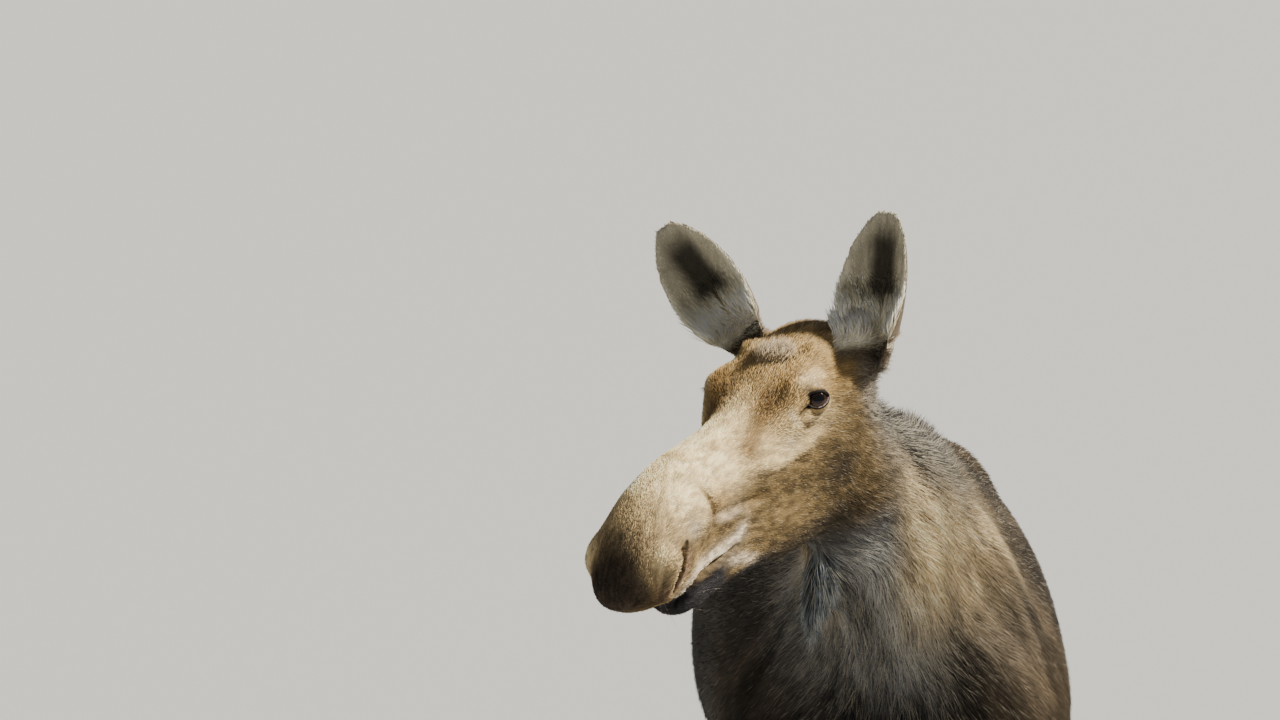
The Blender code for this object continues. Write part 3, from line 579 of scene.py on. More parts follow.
def markings(points, normals):
    """The colour of the coat at places on the hide, from where on the animal they are, with some painted
    light and shade.
    """
    own = in_head(points)
    left = mirrored(own)
    x, y, z = left.T
    turned = normals @ head_turn
    up, ahead = turned[:, 2], -turned[:, 1]
    mound, fold = partial(hill, left), partial(groove, left)
    away, spot, share = nearest_on(left, NOSTRIL)
    behind = (left - spot) @ NOSTRIL_BACK
    tear_side, tear_at = x > 0.076, left * (0, 1, 1)
    lids, reach, across, height = lid_share(own)
    upper = ramp(height, -0.001, 0.004)
    over_eye = fall(np.abs(across - 0.004), 0.012, 0.021) * (reach < 0.05)
    face = stained(
        OLIVE,
        (TAN, ramp(z, -0.135, -0.05) * fall(y, -0.2, -0.1) + 0.8 * ramp(z, -0.045, -0.01)),
        (GOLD, 0.9 * ramp(y, -0.3, -0.2) * ramp(z, -0.1, -0.05)),
        (RUFOUS, 0.55 * mound((0.045, -0.24, -0.026), (0.02, 0.04, 0.03))),
        (STRIPE, 0.92 * fold(DARK_STRIPE, 0.025, 0.15)),
        (RUFOUS, 0.55 * mound((0.012, -0.434, -0.02), (0.012, 0.01, 0.03))),
        (RUFOUS, 0.5 * mound((0.036, -0.37, -0.038), (0.01, 0.018, 0.02))),
        (RUFOUS, 0.6 * mound((0.072, -0.2, -0.012), (0.02, 0.03, 0.02))),
        (RUFOUS, 0.55 * mound((0.07, -0.43, -0.1), (0.02, 0.024, 0.03))),
        (OLIVE, 0.55 * ramp(-y, 0.495, 0.56) * (1 - ramp(z, -0.05, -0.02) * 0.3)),
        # The nose's dark brown is held off the nostril's wing, and tan is laid on the wing: a painted
        # highlight where it catches the light.
        (NOSE_BROWN, ramp(-y, 0.545, 0.6) * ramp(ahead, 0.35, 0.8)
         * (1 - 0.9 * mound((0.068, -0.602, -0.112), (0.028, 0.026, 0.04)))),
        (TAN, 0.9 * mound((0.07, -0.6, -0.114), (0.024, 0.022, 0.034))),
        (NOSTRIL_TAN, 0.7 * mound((0.066, -0.608, -0.162), (0.018, 0.018, 0.015))),
        (ASH, 0.5 * mound((0.086, -0.25, -0.094), (0.014, 0.016, 0.013))),
        # Tan along the brow and the crest of the cheek: pale hair, and a painted highlight on these
        # ridges.
        (TAN, 0.55 * fold(BROW, 0.01)),
        (TAN, 0.55 * fold(CHEEK_CREST, 0.01)),
        (FORELOCK, forelock(own)),
        # Grey-tan on the roots of the ears, painted light: lighter than their hair, to make up for the
        # ear's shadow over them.
        (EAR_STEM_LIT, 0.75 * ear_root(points)),
        (DARK_BROWN_AND_SHADE, 0.88 * mound((0.085, -0.15, -0.19), (0.04, 0.055, 0.035))),
        # Darker where the underside of the jaw faces down: painted shade under the head.
        (DARK_BROWN_AND_SHADE, 0.85 * ramp(-z, 0.215, 0.265) * fall(up, -0.3, 0.25)),
        (CHIN, ramp(-y, 0.425, 0.455) * ramp(-z, 0.192, 0.204)),
        (CHIN, 0.85 * ramp(-z, 0.225, 0.245) * ramp(-y, 0.3, 0.36)),
        (PALE, fold(UPPER_LIP, 0.0125, 0.1)),
        (PALE, 0.85 * fold(LIP_CORNER, 0.0095)),
        (PALE, 0.55 * groove(left + (0, 0.006, 0.0), CHEEK_FOLD[:3], 0.009)),
        (CHIN, fold(MOUTH, 0.0058, 0.05)),
        (ASH, 0.55 * mound((0.074, -0.515, -0.098), (0.02, 0.016, 0.016))),
        (NOSTRIL_TAN, 0.9 * np.exp(-((behind - 0.006) / 0.006) ** 2) * (away < 0.02)
         * ramp(share, -0.05, 0.15)),
        (PALE, 0.8 * np.exp(-((behind - 0.0145) / 0.003) ** 2) * (away < 0.02)
         * ramp(share, 0.1, 0.4)),
        # A dark line along the nostril's slit: painted shade inside the opening.
        (LID_DARK, np.exp(-(away / 0.0042) ** 4)),
        (LID_DARK, 0.85 * tear_side * groove(tear_at, TEAR, 0.0032)),
        (PALE, 0.7 * tear_side * groove(tear_at, TEAR_EDGE, 0.0036)),
        (LID_GREY, 0.9 * over_eye * upper * fall(height, 0.012, 0.019) * (lids > 0.9)),
        # The grey pouch under the eye is partly its own colour and partly painted shade; the dark in its
        # crease is painted shade.
        (LID_GREY, 0.62 * mound((0.096, -0.194, -0.077), (0.03, 0.026, 0.009))),
        (DARK_BROWN_AND_SHADE, 0.35 * fold(POUCH, 0.006)),
        (PALE, 0.3 * over_eye * fall(np.abs(height - 0.0225), 0.002, 0.005)),
        (LID_DARK, fall(lids, 1.22, 1.38 + 0.62 * upper) * ramp(lids, 0.9, 0.98)),
        # A pale rim along the wet lower lid: a painted highlight.
        (WET_RIM_HIGHLIGHT, 0.8 * fall(np.abs(lids - 1.05), 0.01, 0.05) * (height < -0.001)),
    )

    px, py, pz = points.T
    nx, _, nz = normals.T
    shoulder = (hill(points, (0.34, -0.22, 1.35), (0.3, 0.38, 0.42))
                + 0.35 * hill(points, (-0.1, 0.0, 1.35), (0.26, 0.25, 0.42)))
    neck = ramp(pz, 1.25, 1.5) * fall(py, -0.3, 0.05)
    body = stained(
        BODY_DARK,
        (SHOULDER, shoulder * ramp(np.abs(nx), 0.25, 0.8)),
        (SHOULDER, 0.55 * ramp(nz, -0.1, 0.6) * ramp(py, 0.1, 0.4)),
        (THROAT, neck * ramp(px, -0.14, -0.04) * (1 - 0.85 * ramp(px, 0.08, 0.2))
         * ramp(pz, 1.3, 1.55)),
        (NECK_TAN, neck * ramp(px, 0.03, 0.12) * ramp(nx, -0.1, 0.5)
         * (0.04 + 0.96 * ramp(pz, 1.48, 1.7)) * (1 - 0.55 * ramp(py, -0.58, -0.34))),
        (NECK_TAN, 0.6 * neck * ramp(-nx, 0.5, 0.9) * ramp(pz, 1.52, 1.66)),
        (BELL_GREY, on_bell(points)),
        (MANE_GREY, mane(points) * ramp(nz, -0.05, 0.5)),
        (SHANK, fall(pz, 0.55, 0.98) * (0.75 + 0.25 * ramp(np.abs(nx), 0.2, 0.8))),
        (BODY_DARK, 0.6 * fall(pz, 0.06, 0.12)),
    )
    colour = body + (face - body) * ramp(-y, -0.03, 0.1)[:, None] * ramp(z, -0.34, -0.27)[:, None]

    for _, own, axes in ears(points):
        reach, aside = own[:, 2] / EAR_LENGTH, np.abs(own[:, 0])
        inward = into_ear(own, normals, axes)
        depth = (ramp(reach, 0.28, 0.5) * (0.52 + 0.48 * fall(aside, 0.012, 0.04))
                 * (1 - 0.85 * ramp(aside, 0.048, 0.062)) * (1 - 0.45 * ramp(reach, 0.78, 0.98)))
        edge = ramp(inward, -0.35, 0.05) * fall(inward, 0.45, 0.85)
        # The hollow's lining is pale hair, made brighter still as painted light shining through the ear.
        leaf = stained(
            EAR_BACK,
            (EAR_SHADE, 0.35 * ramp(reach, 0.75, 1.0)),
            (stained(EAR_LINING_LIT, (EAR_SHADE, depth)),
             ramp(inward, 0.0, 0.45) * ramp(reach, 0.14, 0.2)),
            (EAR_RIM, 0.75 * (edge * ramp(reach, 0.14, 0.3))),
        )
        colour = stained(colour, (leaf, on_ear(points, 0.06) * by_ear(own) * (reach > 0)))
    return colour


def with_colours(mesh, colours):
    """Stores a colour at every point of a mesh, for its material to read."""
    layer = mesh.attributes.new("coat", "FLOAT_COLOR", "POINT")
    write(layer.data, "color", np.hstack((colours, np.ones((len(colours), 1)))))


class Shade:
    """A socket that arithmetic works on: each sum or product adds its Math node."""

    def __init__(self, tree, socket):
        self.tree, self.socket = tree, socket

    def maths(self, operation, *values):
        return add_node(self.tree, "ShaderNodeMath", {"operation": operation}, *values)

    def __add__(self, other):
        return self.maths("ADD", self, other)

    def __rsub__(self, other):
        return self.maths("SUBTRACT", other, self)

    def __mul__(self, other):
        return self.maths("MULTIPLY", self, other)

    __radd__ = __add__
    __rmul__ = __mul__

    def root(self):
        return self.maths("SQRT", self)

    def between(self, low, high):
        """0 below low, 1 above high, and smooth between."""
        return add_node(self.tree, "ShaderNodeMapRange", {"interpolation_type": "SMOOTHSTEP"},
                        self, low, high)


def add_node(tree, kind, settings, *values, output=0, **named):
    """Adds a node, gives it its settings, then the values or links of its sockets."""
    node = tree.nodes.new(kind)
    for key, value in settings.items():
        if key == "stops":
            for element, (place, colour) in zip(node.color_ramp.elements, value):
                element.position, element.color = place, (*colour, 1)
        else:
            setattr(node, key, value)
    wanted = list(enumerate(values)) + [(k.replace("_", " "), v) for k, v in named.items()]
    for key, value in wanted:
        if isinstance(value, Shade):
            tree.links.new(value.socket, node.inputs[key])
        elif value is not None:
            node.inputs[key].default_value = value
    return Shade(tree, node.outputs[output])


def finish_of(name, **constants):
    """A new Principled material with its constants set on the shader's own sockets."""
    material = bpy.data.materials.new(name)
    material.use_nodes = True
    shader = material.node_tree.nodes["Principled BSDF"]
    for key, value in constants.items():
        shader.inputs[key.replace("_", " ")].default_value = value
    return material, material.node_tree, shader


def plug(value, shader, socket):
    value.tree.links.new(value.socket, shader.inputs[socket])


def noise(place, scale, detail):
    return add_node(place.tree, "ShaderNodeTexNoise", {}, place, Scale=scale, Detail=detail,
                    output="Fac")


def bumped(height, strength, distance):
    return add_node(height.tree, "ShaderNodeBump", {}, Strength=strength, Distance=distance,
                    Height=height, output="Normal")


def object_place(tree):
    return add_node(tree, "ShaderNodeTexCoord", {}, output="Object")


def mixed(tree, blend, share, one, two):
    """Two colours through a Mix node, whose colour sockets come after five unused ones."""
    return add_node(tree, "ShaderNodeMix", {"data_type": "RGBA", "blend_type": blend},
                    share, *[None] * 5, one, two, output=2)


def dyed(tone):
    """The colours stored on the mesh, made lighter or darker by a tone."""
    stored = add_node(tone.tree, "ShaderNodeAttribute", {"attribute_name": "coat"}, output="Color")
    return mixed(tone.tree, "MULTIPLY", 1.0, stored, tone)


def placed(mesh, material):
    """Shades a mesh smooth and puts it in the scene as an object of the same name."""
    mesh.shade_smooth()
    mesh.materials.append(material)
    piece = bpy.data.objects.new(mesh.name, mesh)
    link(piece)
    return piece


SKIN_ROUGHNESS = 0.78
FUR_GRAIN = 620.0
skin_material, tree, shader = finish_of("hide", Roughness=SKIN_ROUGHNESS, Specular_IOR_Level=0.1)
place = object_place(tree)
combed = add_node(tree, "ShaderNodeMapping", {}, place, Scale=(1.0, 0.3, 0.45))
grain = noise(combed, FUR_GRAIN, 3.0)
plug(dyed(0.46 + grain * 0.45 + noise(place, 34.0, 3.0) * 0.24), shader, "Base Color")
plug(bumped(grain, 0.55, 0.0012), shader, "Normal")

hide_points, hide_normals = points_of(hide), normals_of(hide)
lie = flow(hide_points, hide_normals)
face, leg = facing(hide_points), lower_leg(hide_points)
fine, broad = streaks(hide, hide_points, lie, 3, 21), streaks(hide, hide_points, lie, 25, 22)
low_cheek = ramp(-in_head(hide_points)[:, 2], 0.09, 0.15) * face
contrast = 0.24 + 0.26 * (1 - face) * (1 - leg) + 0.12 * low_cheek
contrast *= 1 - 0.7 * on_ear(hide_points, 0.0)
streak = np.clip(fine + broad * (0.5 - 0.25 * face), -1.8, 1.3)
hide_colours = markings(hide_points, hide_normals) * np.exp(contrast * streak)[:, None]
undertone = 1 - 0.5 * (1 - face) * (1 - 0.5 * leg) * (1 - on_ear(hide_points))
with_colours(hide, hide_colours * undertone[:, None])
hide_piece = placed(hide, skin_material)
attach(hide_piece, "root")
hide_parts(*flesh)

# ============ eyes
# The eyes are wet brown balls, set deep under the lids, with a dark oval pupil across the
# iris, whose upper part is painted darker as shade from the upper lid.  Each sits in its own
# socket of the hide.
EYE_RADIUS = BALL_RADIUS * HEAD_SCALE
CORNEA_RISE = 0.045
IRIS_DARK, IRIS_LIGHT, PUPIL = (0.012, 0.006, 0.004), (0.062, 0.024, 0.011), (0.003, 0.003, 0.004)

eye_material, tree, shader = finish_of("eye", Roughness=0.05, Specular_IOR_Level=0.35)
gaze = add_node(tree, "ShaderNodeAttribute", {"attribute_name": "gaze"}, output="Vector")
split = add_node(tree, "ShaderNodeSeparateXYZ", {}, gaze).socket.node
across, upward = (Shade(tree, split.outputs[axis]) for axis in "XY")
wide = (across * across * 0.45 + upward * upward).root()
ring = (across * across + upward * upward).root()
fibres = noise(gaze, 14.0, 4.0)
# The iris grows darker upward: painted shade from the upper lid.
iris = add_node(tree, "ShaderNodeValToRGB", {"stops": [(0.3, IRIS_LIGHT), (0.8, IRIS_DARK)]},
                ring * 0.9 + fibres * 0.25 + upward * 0.4)
pupil = 1 - wide.between(0.26, 0.34)
plug(mixed(tree, "MIX", pupil, iris, (*PUPIL, 1)), shader, "Base Color")

for eye_side, sign in (("left", 1), ("right", -1)):
    flip = np.array((sign, 1, 1))
    out, slit, upright = (head_turn @ (v * flip) for v in (EYE_OUT, EYE_SLIT, EYE_UP))
    middle = from_head(BALL_CENTRE * flip)
    bm = bmesh.new()
    bmesh.ops.create_uvsphere(bm, u_segments=64, v_segments=40, radius=EYE_RADIUS)
    mesh = mesh_of(bm, f"eyeball_{eye_side}")
    ball = points_of(mesh)
    axes = np.array((slit, upright, out))
    write(mesh.attributes.new("gaze", "FLOAT_VECTOR", "POINT").data, "vector", ball / EYE_RADIUS)
    cornea = 1 + CORNEA_RISE * ramp(ball[:, 2] / EYE_RADIUS, 0.72, 0.95)
    set_points(mesh, (ball * cornea[:, None]) @ axes + middle)
    if np.linalg.det(axes) < 0:
        mesh.flip_normals()
    piece = placed(mesh, eye_material)
    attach(piece, "root")
    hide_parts(f"eye_{eye_side}")

# ============ hooves
# Each foot has two long cloven hooves of dark horn, ringed across and worn smooth at the
# sole, and two small dewclaws behind the pastern.  All sixteen stand clear of the hide.
HORN_DARK, HORN_LIGHT = (0.022, 0.018, 0.015), (0.062, 0.051, 0.041)
HORN_VOXEL, HORN_EASING, HORN_ROUNDS = 0.0024, 0.6, 5
HORN_WIDENING = 1.11

horn_material, tree, shader = finish_of("horn", Roughness=0.42, Specular_IOR_Level=0.45)
place = object_place(tree)
upright = add_node(tree, "ShaderNodeMapping", {}, place, Scale=(1.0, 1.0, 0.12))
rings = add_node(tree, "ShaderNodeMapping", {}, place, Scale=(0.15, 0.15, 1.0))
streaky, ringed = noise(upright, 160.0, 4.0), noise(rings, 190.0, 2.0)
horn_tone = add_node(tree, "ShaderNodeValToRGB", {"stops": [(0.35, HORN_DARK), (0.75, HORN_LIGHT)]},
                     streaky * 0.6 + ringed * 0.4)
plug(horn_tone, shader, "Base Color")
plug(0.3 + streaky * 0.3, shader, "Roughness")
plug(bumped(ringed * 0.7 + streaky * 0.3, 0.6, 0.0015), shader, "Normal")

for piece_name, part in (("hooves", "hoof"), ("dewclaws", "dewclaw")):
    nodes = [name for name in sorted(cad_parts) if part in name]
    mesh = merged_copy(nodes, piece_name)
    mesh = after(mesh, "REMESH", {"mode": "VOXEL", "voxel_size": HORN_VOXEL})
    places = points_of(mesh)
    places = eased(places, edges_of(mesh), HORN_EASING * ramp(places[:, 2], 0.001, 0.01), HORN_ROUNDS)
    places[:, 2] = np.maximum(places[:, 2], 0.0)
    if part == "hoof":
        for foot in sorted({name.split("_hoof")[0] for name in nodes}):
            boxes = np.array([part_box(f"{foot}_hoof_{claw}") for claw in ("inner", "outer")])
            low, high = boxes[:, 0].min(0), boxes[:, 1].max(0)
            middle, half = (low + high) / 2, (high[0] - low[0]) / 2
            off, ahead, _ = (places - middle).T
            mine = (np.abs(off) < half + 0.01) & (np.abs(ahead) < 0.09)
            wider = np.sign(off) * (half - (half - np.abs(off)) * HORN_WIDENING)
            places[:, 0] = np.where(mine, middle[0] + wider, places[:, 0])
    set_points(mesh, places)
    piece = placed(mesh, horn_material)
    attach(piece, "root")
    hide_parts(*nodes)

# ============ coat
# The coat is guard hair, gathered in fine tufts that overlap like thatch and lie the way
# the hair grows: back from the nose, down the neck and legs, and along the body to the
# tail.  It is shortest on the face, ears and shanks and longest on the crest and hump.
coat_rng = np.random.default_rng(11)


def ripple(points, size, seed):
    """Slow waves over the coat, between -1 and 1, from a few crossing swells."""
    swells = np.random.default_rng(seed)
    total = np.zeros(len(points))
    for _ in range(5):
        heading = unit(swells.normal(size=3)) * (2 * math.pi / size) * swells.uniform(0.6, 1.6)
        total += np.sin(points @ heading + swells.uniform(0, 6.28))
    return total / 3.2


def lining_of_ear(points, normals):
    """1 on the hollow side of the ears."""
    return np.maximum(*(ramp(into_ear(own, normals, axes), 0.0, 0.45) * by_ear(own)
                        for _, own, axes in ears(points))) * on_ear(points)


def habit(points, normals):
    """Length, width, lift in degrees and spacing of the tufts at each place."""
    own = in_head(points)
    left = mirrored(own)
    face, crest, tuft = facing(points), mane(points), forelock(own)
    rear = ramp(own[:, 1], -0.3, -0.02)
    neck = ramp(points[:, 2], 1.1, 1.3) * fall(points[:, 1], -0.25, 0.1) * (1 - crest)
    length = 0.032 + 0.02 * crest + 0.004 * neck
    width = 0.002 + 0.0001 * crest - 0.0006 * neck
    lift = 11.0 + 13.0 * crest
    spacing = 0.005 - 0.001 * crest - 0.0018 * neck

    def turn_to(share, *wanted):
        """Draws the four measures towards those of one part of the body."""
        for measure, value in zip((length, width, lift, spacing), wanted):
            measure += (value - measure) * share

    turn_to(lower_leg(points), 0.011, 0.0017, 11.0, 0.004)
    fetlock = fall(points[:, 2], 0.1, 0.17)
    length += 0.007 * fetlock + 0.013 * fetlock * ramp(normals[:, 1], 0.2, 0.8)
    lift += 6.0 * fetlock
    jaw = ramp(-own[:, 2], 0.2, 0.3)
    turn_to(face, 0.0075 + 0.0055 * rear + 0.007 * jaw * rear + 0.017 * tuft,
            0.00115 + 0.0003 * rear + 0.0006 * tuft, 11.0 + 22.0 * tuft + 2 * rear,
            0.00255 + 0.0003 * rear - 0.0006 * tuft)
    turn_to(on_bell(points), 0.042, 0.0022, 9.0, 0.0042)
    lining = lining_of_ear(points, normals)
    ear_reach = np.maximum(*(in_ear[:, 2] for _, in_ear, _ in ears(points))) / EAR_LENGTH
    low_down = fall(ear_reach, 0.25, 0.65)
    turn_to(on_ear(points), 0.0068 + 0.026 * lining * low_down, 0.0009 + 0.0004 * lining,
            8.0 + 11.0 * lining * low_down, 0.0024)
    lift += 15.0 * hill(left, (0.07, -0.23, -0.036), (0.028, 0.03, 0.024))
    turn_to(ear_root(points), 0.019, 0.0015, 24.0, 0.0031)

    lids, _, _, lid_height = lid_share(own)
    above = 0.45 * ramp(lid_height, -0.001, 0.005)
    wet = near_lines(left, NOSTRIL, MOUTH)
    tears = (left[:, 0] > 0.078) * groove((left + (0, 0.003, 0)) * (0, 1, 1), TEAR, 0.005)
    length *= 0.65 + 0.35 * ramp(lids, 1.5, 2.6)
    length *= 1 - 0.65 * face * fall(wet, 0.006, 0.02)
    bare = np.maximum.reduce([fall(lids, 1.35 + above, 1.6 + above),
                              fall(wet, 0.005, 0.008) * face, ramp(tears, 0.3, 0.6)])
    return length, width, np.radians(lift), spacing, bare


# Roots are strewn over the hide's triangles, each triangle by its area and its spacing
hide.calc_loop_triangles()
corners = read(hide.loop_triangles, "vertices", 3, np.int32)
first, second, third = (hide_points[corners[:, k]] for k in range(3))
patch = np.linalg.norm(np.cross(second - first, third - first), axis=1) / 2
_, _, _, spacing, bare = habit((first + second + third) / 3, hide_normals[corners].mean(1))
number = np.floor(patch / spacing ** 2 * (1 - bare) + coat_rng.random(len(patch))).astype(int)
patch_of = np.repeat(np.arange(len(patch)), number)
one, two = np.sqrt(coat_rng.random(len(patch_of))), coat_rng.random(len(patch_of))
blend = np.stack((1 - one, one * (1 - two), one * two), 1)[:, :, None]
roots, root_normals, root_colours = (
    (values[corners[patch_of]] * blend).sum(1) for values in (hide_points, hide_normals, hide_colours))
root_normals = unit(root_normals)
root_length, root_width, root_lift, _, _ = habit(roots, root_normals)
root_way = flow(roots, root_normals)
face = facing(roots)
swerve = (0.2 * ripple(roots, 0.05, 3) + 0.16 * ripple(roots, 0.16, 4)
          + coat_rng.normal(0, 0.16, len(roots))) * (1 - 0.35 * face)
ruffled = np.maximum(forelock(in_head(roots)), ear_root(roots))
swerve += coat_rng.normal(0, 0.45, len(roots)) * ruffled
beside = np.cross(root_normals, root_way)
root_way = unit(root_way * np.cos(swerve)[:, None] + beside * np.sin(swerve)[:, None])

# Tufts vary in tone and are darker at the root, a painted shade for the depth of the coat;
# some are grizzled, with a pale tip, which on the front of the neck is also a painted glint.
GRIZZLE_AND_GLINT, GRIZZLE_AND_GLINT_SHARE = (0.62, 0.55, 0.42), 0.6
TIP_TONE, ROOT_SHADE, BRIGHTEST = 1.45, 0.34, 0.9
x, _, z = roots.T
# The front of the neck has more pale tips: grizzled hair, and painted glints of light on it.
grizzle_and_glint = (0.006 + 0.31 * ramp(z, 1.25, 1.6) * (1 - face) * ramp(x, -0.14, -0.04)
          * (1 - 0.7 * ramp(x, 0.12, 0.26)) + 0.1 * mane(roots)) * (1 - lower_leg(roots))
grizzle_and_glint = np.where(face > 0.5, 0.06 * ramp(in_head(roots)[:, 1], -0.55, -0.4), grizzle_and_glint)
grizzle_and_glint *= 1 - on_ear(roots)
pale = (coat_rng.random(len(roots)) < grizzle_and_glint)[:, None]
tone = np.exp(coat_rng.normal(0, 1, len(roots)) * (0.46 - 0.22 * face)
              + (0.1 - 0.06 * face) * ripple(roots, 0.022, 7)
              + 0.12 * ripple(roots, 0.09, 8))[:, None]
tip_colours = np.clip(root_colours * tone * TIP_TONE, 0, BRIGHTEST)
grizzled_and_glinting = tip_colours * (1 - GRIZZLE_AND_GLINT_SHARE) + np.array(GRIZZLE_AND_GLINT) * GRIZZLE_AND_GLINT_SHARE
tip_colours = np.where(pale, grizzled_and_glinting, tip_colours)
# Each tuft is darker at its root: painted shade for the depth of the coat.
root_shade = ROOT_SHADE + 0.42 * np.minimum(tone, 1.3) + 0.25 * on_ear(roots)[:, None]
shaded_base_colours = root_colours * root_shade

# Lashes along each upper lid, and a few whiskers on the lips and chin
LASHES, LASH_LENGTH, LASH_WIDTH, LASH_LIFT = 44, 0.015, 0.0007, -0.15
WHISKERS, WHISKER_LENGTH, WHISKER_WIDTH = 70, 0.028, 0.0004
extra = []
for sign in (1, -1):
    flip = np.array((sign, 1, 1))
    for _ in range(LASHES):
        u = coat_rng.uniform(-0.75, 0.92)
        v = LID_RISE * (1 - u * u) ** (1 / 1.5) * 1.12
        flat = EYE_SLIT * u * SLIT_HALF + EYE_UP * v
        turn = np.linalg.norm(flat) / BALL_RADIUS
        place = (BALL_CENTRE + (BALL_RADIUS + LID_THICKNESS * 0.9)
                 * (EYE_OUT * math.cos(turn) + unit(flat) * math.sin(turn)))
        way = (EYE_OUT + EYE_SLIT * (0.7 * u + coat_rng.normal(0, 0.12))
               + EYE_UP * coat_rng.uniform(-0.25, 0.15))
        extra.append((from_head(place * flip), head_turn @ (unit(way) * flip),
                      head_turn @ (EYE_UP * flip), LASH_LENGTH * coat_rng.uniform(0.7, 1.1),
                      LASH_WIDTH, LASH_LIFT, LID_DARK))
left = mirrored(in_head(roots))
lips = near_lines(left, MOUTH, LOWER_LIP)
on_lips = np.nonzero((lips < 0.028) & (lips > 0.007) & (left[:, 1] < -0.42))[0]
for k in coat_rng.choice(on_lips, WHISKERS, replace=False):
    extra.append((roots[k], root_way[k], root_normals[k], WHISKER_LENGTH * coat_rng.uniform(0.6, 1.2),
                  WHISKER_WIDTH, coat_rng.uniform(0.5, 1.1),
                  GRIZZLE_AND_GLINT if coat_rng.random() < 0.5 else CHIN))
added = [np.array(column) for column in zip(*extra)]
tufts = [np.concatenate(pair) for pair in zip(
    (roots, root_way, root_normals, root_length, root_width, root_lift, tip_colours, shaded_base_colours),
    (*added, added[-1]))]
roots, _, root_normals, *_ = tufts

# Closed little forms: their faces, and where in its patch of the map each corner lies.  A
# spike is widest at the root; a lock is widest part of the way along, and bends there.
SPIKE = {"faces": ((0, 3, 2), (2, 3, 1), (1, 3, 0), (0, 2, 1)),
         "patch": ((-1, -1), (1, -1), (0, -1), (0, 1))}
LOCK = {"faces": ((0, 1, 3), (0, 3, 2), (0, 2, 1), (4, 3, 1), (4, 2, 3), (4, 1, 2)),
        "patch": ((0, -1), (-1, 0), (1, 0), (0, 0), (0, 1))}
THICKNESS = 0.42
PATCH_HALF = 0.0015
ROOT_SINK = 0.001


def tuft_corners(kind, chosen):
    """The places and colours of the corners of the chosen tufts."""
    root, way, normal, length, width, lift, light, dark = (part[chosen] for part in tufts)
    length = (length * coat_rng.uniform(0.72, 1.22, len(chosen)))[:, None]
    lift = (lift * coat_rng.uniform(0.6, 1.35, len(chosen)))[:, None]
    width = width[:, None]
    beside = np.cross(normal, way) * width / 2
    base = root - normal * ROOT_SINK
    if kind is SPIKE:
        heading = way * np.cos(lift) + normal * np.sin(lift)
        raised_side = normal * np.cos(lift) - way * np.sin(lift)
        top = base + raised_side * width * THICKNESS * 1.6 + heading * length * 0.12
        places = (base - beside, base + beside, top, root + heading * length)
        colours = (dark, dark, dark * 0.4 + light * 0.6, light)
    else:
        early, late = lift * 1.35, lift * 0.55
        middle = base + 0.42 * length * (way * np.cos(early) + normal * np.sin(early))
        tip = middle + 0.62 * length * (way * np.cos(late) + normal * np.sin(late))
        places = (base, middle - beside, middle + beside, middle + normal * width * THICKNESS, tip)
        half = dark * 0.35 + light * 0.65
        colours = (dark, half, half, half * 0.5 + light * 0.5, light)
    return np.stack(places, 1), np.stack(colours, 1)


def spread(values):
    """Values drawn out to fill the range from 0 to 1."""
    return (values - values.min()) / max(np.ptp(values), 1e-6)


def unwrap_head(points, normals):
    """Round the head's long axis, and along it, opened out at the nose."""
    x, y, z = (in_head(points) + (0, 0, 0.13)).T
    return np.arctan2(x, z), y + np.hypot(x, z)


def unwrap_neck(points, normals):
    """Round the line from the shoulders to the poll, and along it."""
    start = np.array((BODY_MIDDLE, -0.18, 1.38))
    along = unit(poll - start)
    off = points - start
    reach = off @ along
    off = off - reach[:, None] * along
    return np.arctan2(off[:, 0], off[:, 1]), reach


def unwrap_trunk(points, normals):
    """Round the trunk and along it, opened out at chest and rump."""
    x, y, z = (points - (BODY_MIDDLE, 0.2, 1.42)).T
    return np.arctan2(x, z), y - np.hypot(x, z) * np.sign(y) * ramp(np.abs(y), 0.3, 0.7)


def unwrap_legs(points, normals):
    """Two legs side by side, each unwrapped round its own middle line."""
    off = points[:, 0] - BODY_MIDDLE
    band = 2 * np.round(points[:, 2] / 0.04).astype(int) + (off > 0)
    middle_y = np.bincount(band, points[:, 1]) / np.maximum(np.bincount(band), 1)
    turned = np.arctan2(np.abs(off) - 0.148, points[:, 1] - middle_y[band]) / (2 * math.pi) + 0.5
    return np.where(off > 0, turned * 0.96 + 1.02, turned * 0.96), points[:, 2]


def unwrap_ears(points, normals):
    """Each ear's hollow and back are sheets of their own, side by side."""
    u, v = np.empty(len(points)), np.empty(len(points))
    sheet = lining_of_ear(points, normals) > 0.5
    for k, (_, own, _) in enumerate(ears(points)):
        mine = np.linalg.norm(own, axis=1) < 0.3
        u[mine] = (2 * k + sheet + np.clip(own[:, 0] / 0.16 + 0.5, 0, 1) * 0.96)[mine]
        v[mine] = own[mine, 2]
    return u, v


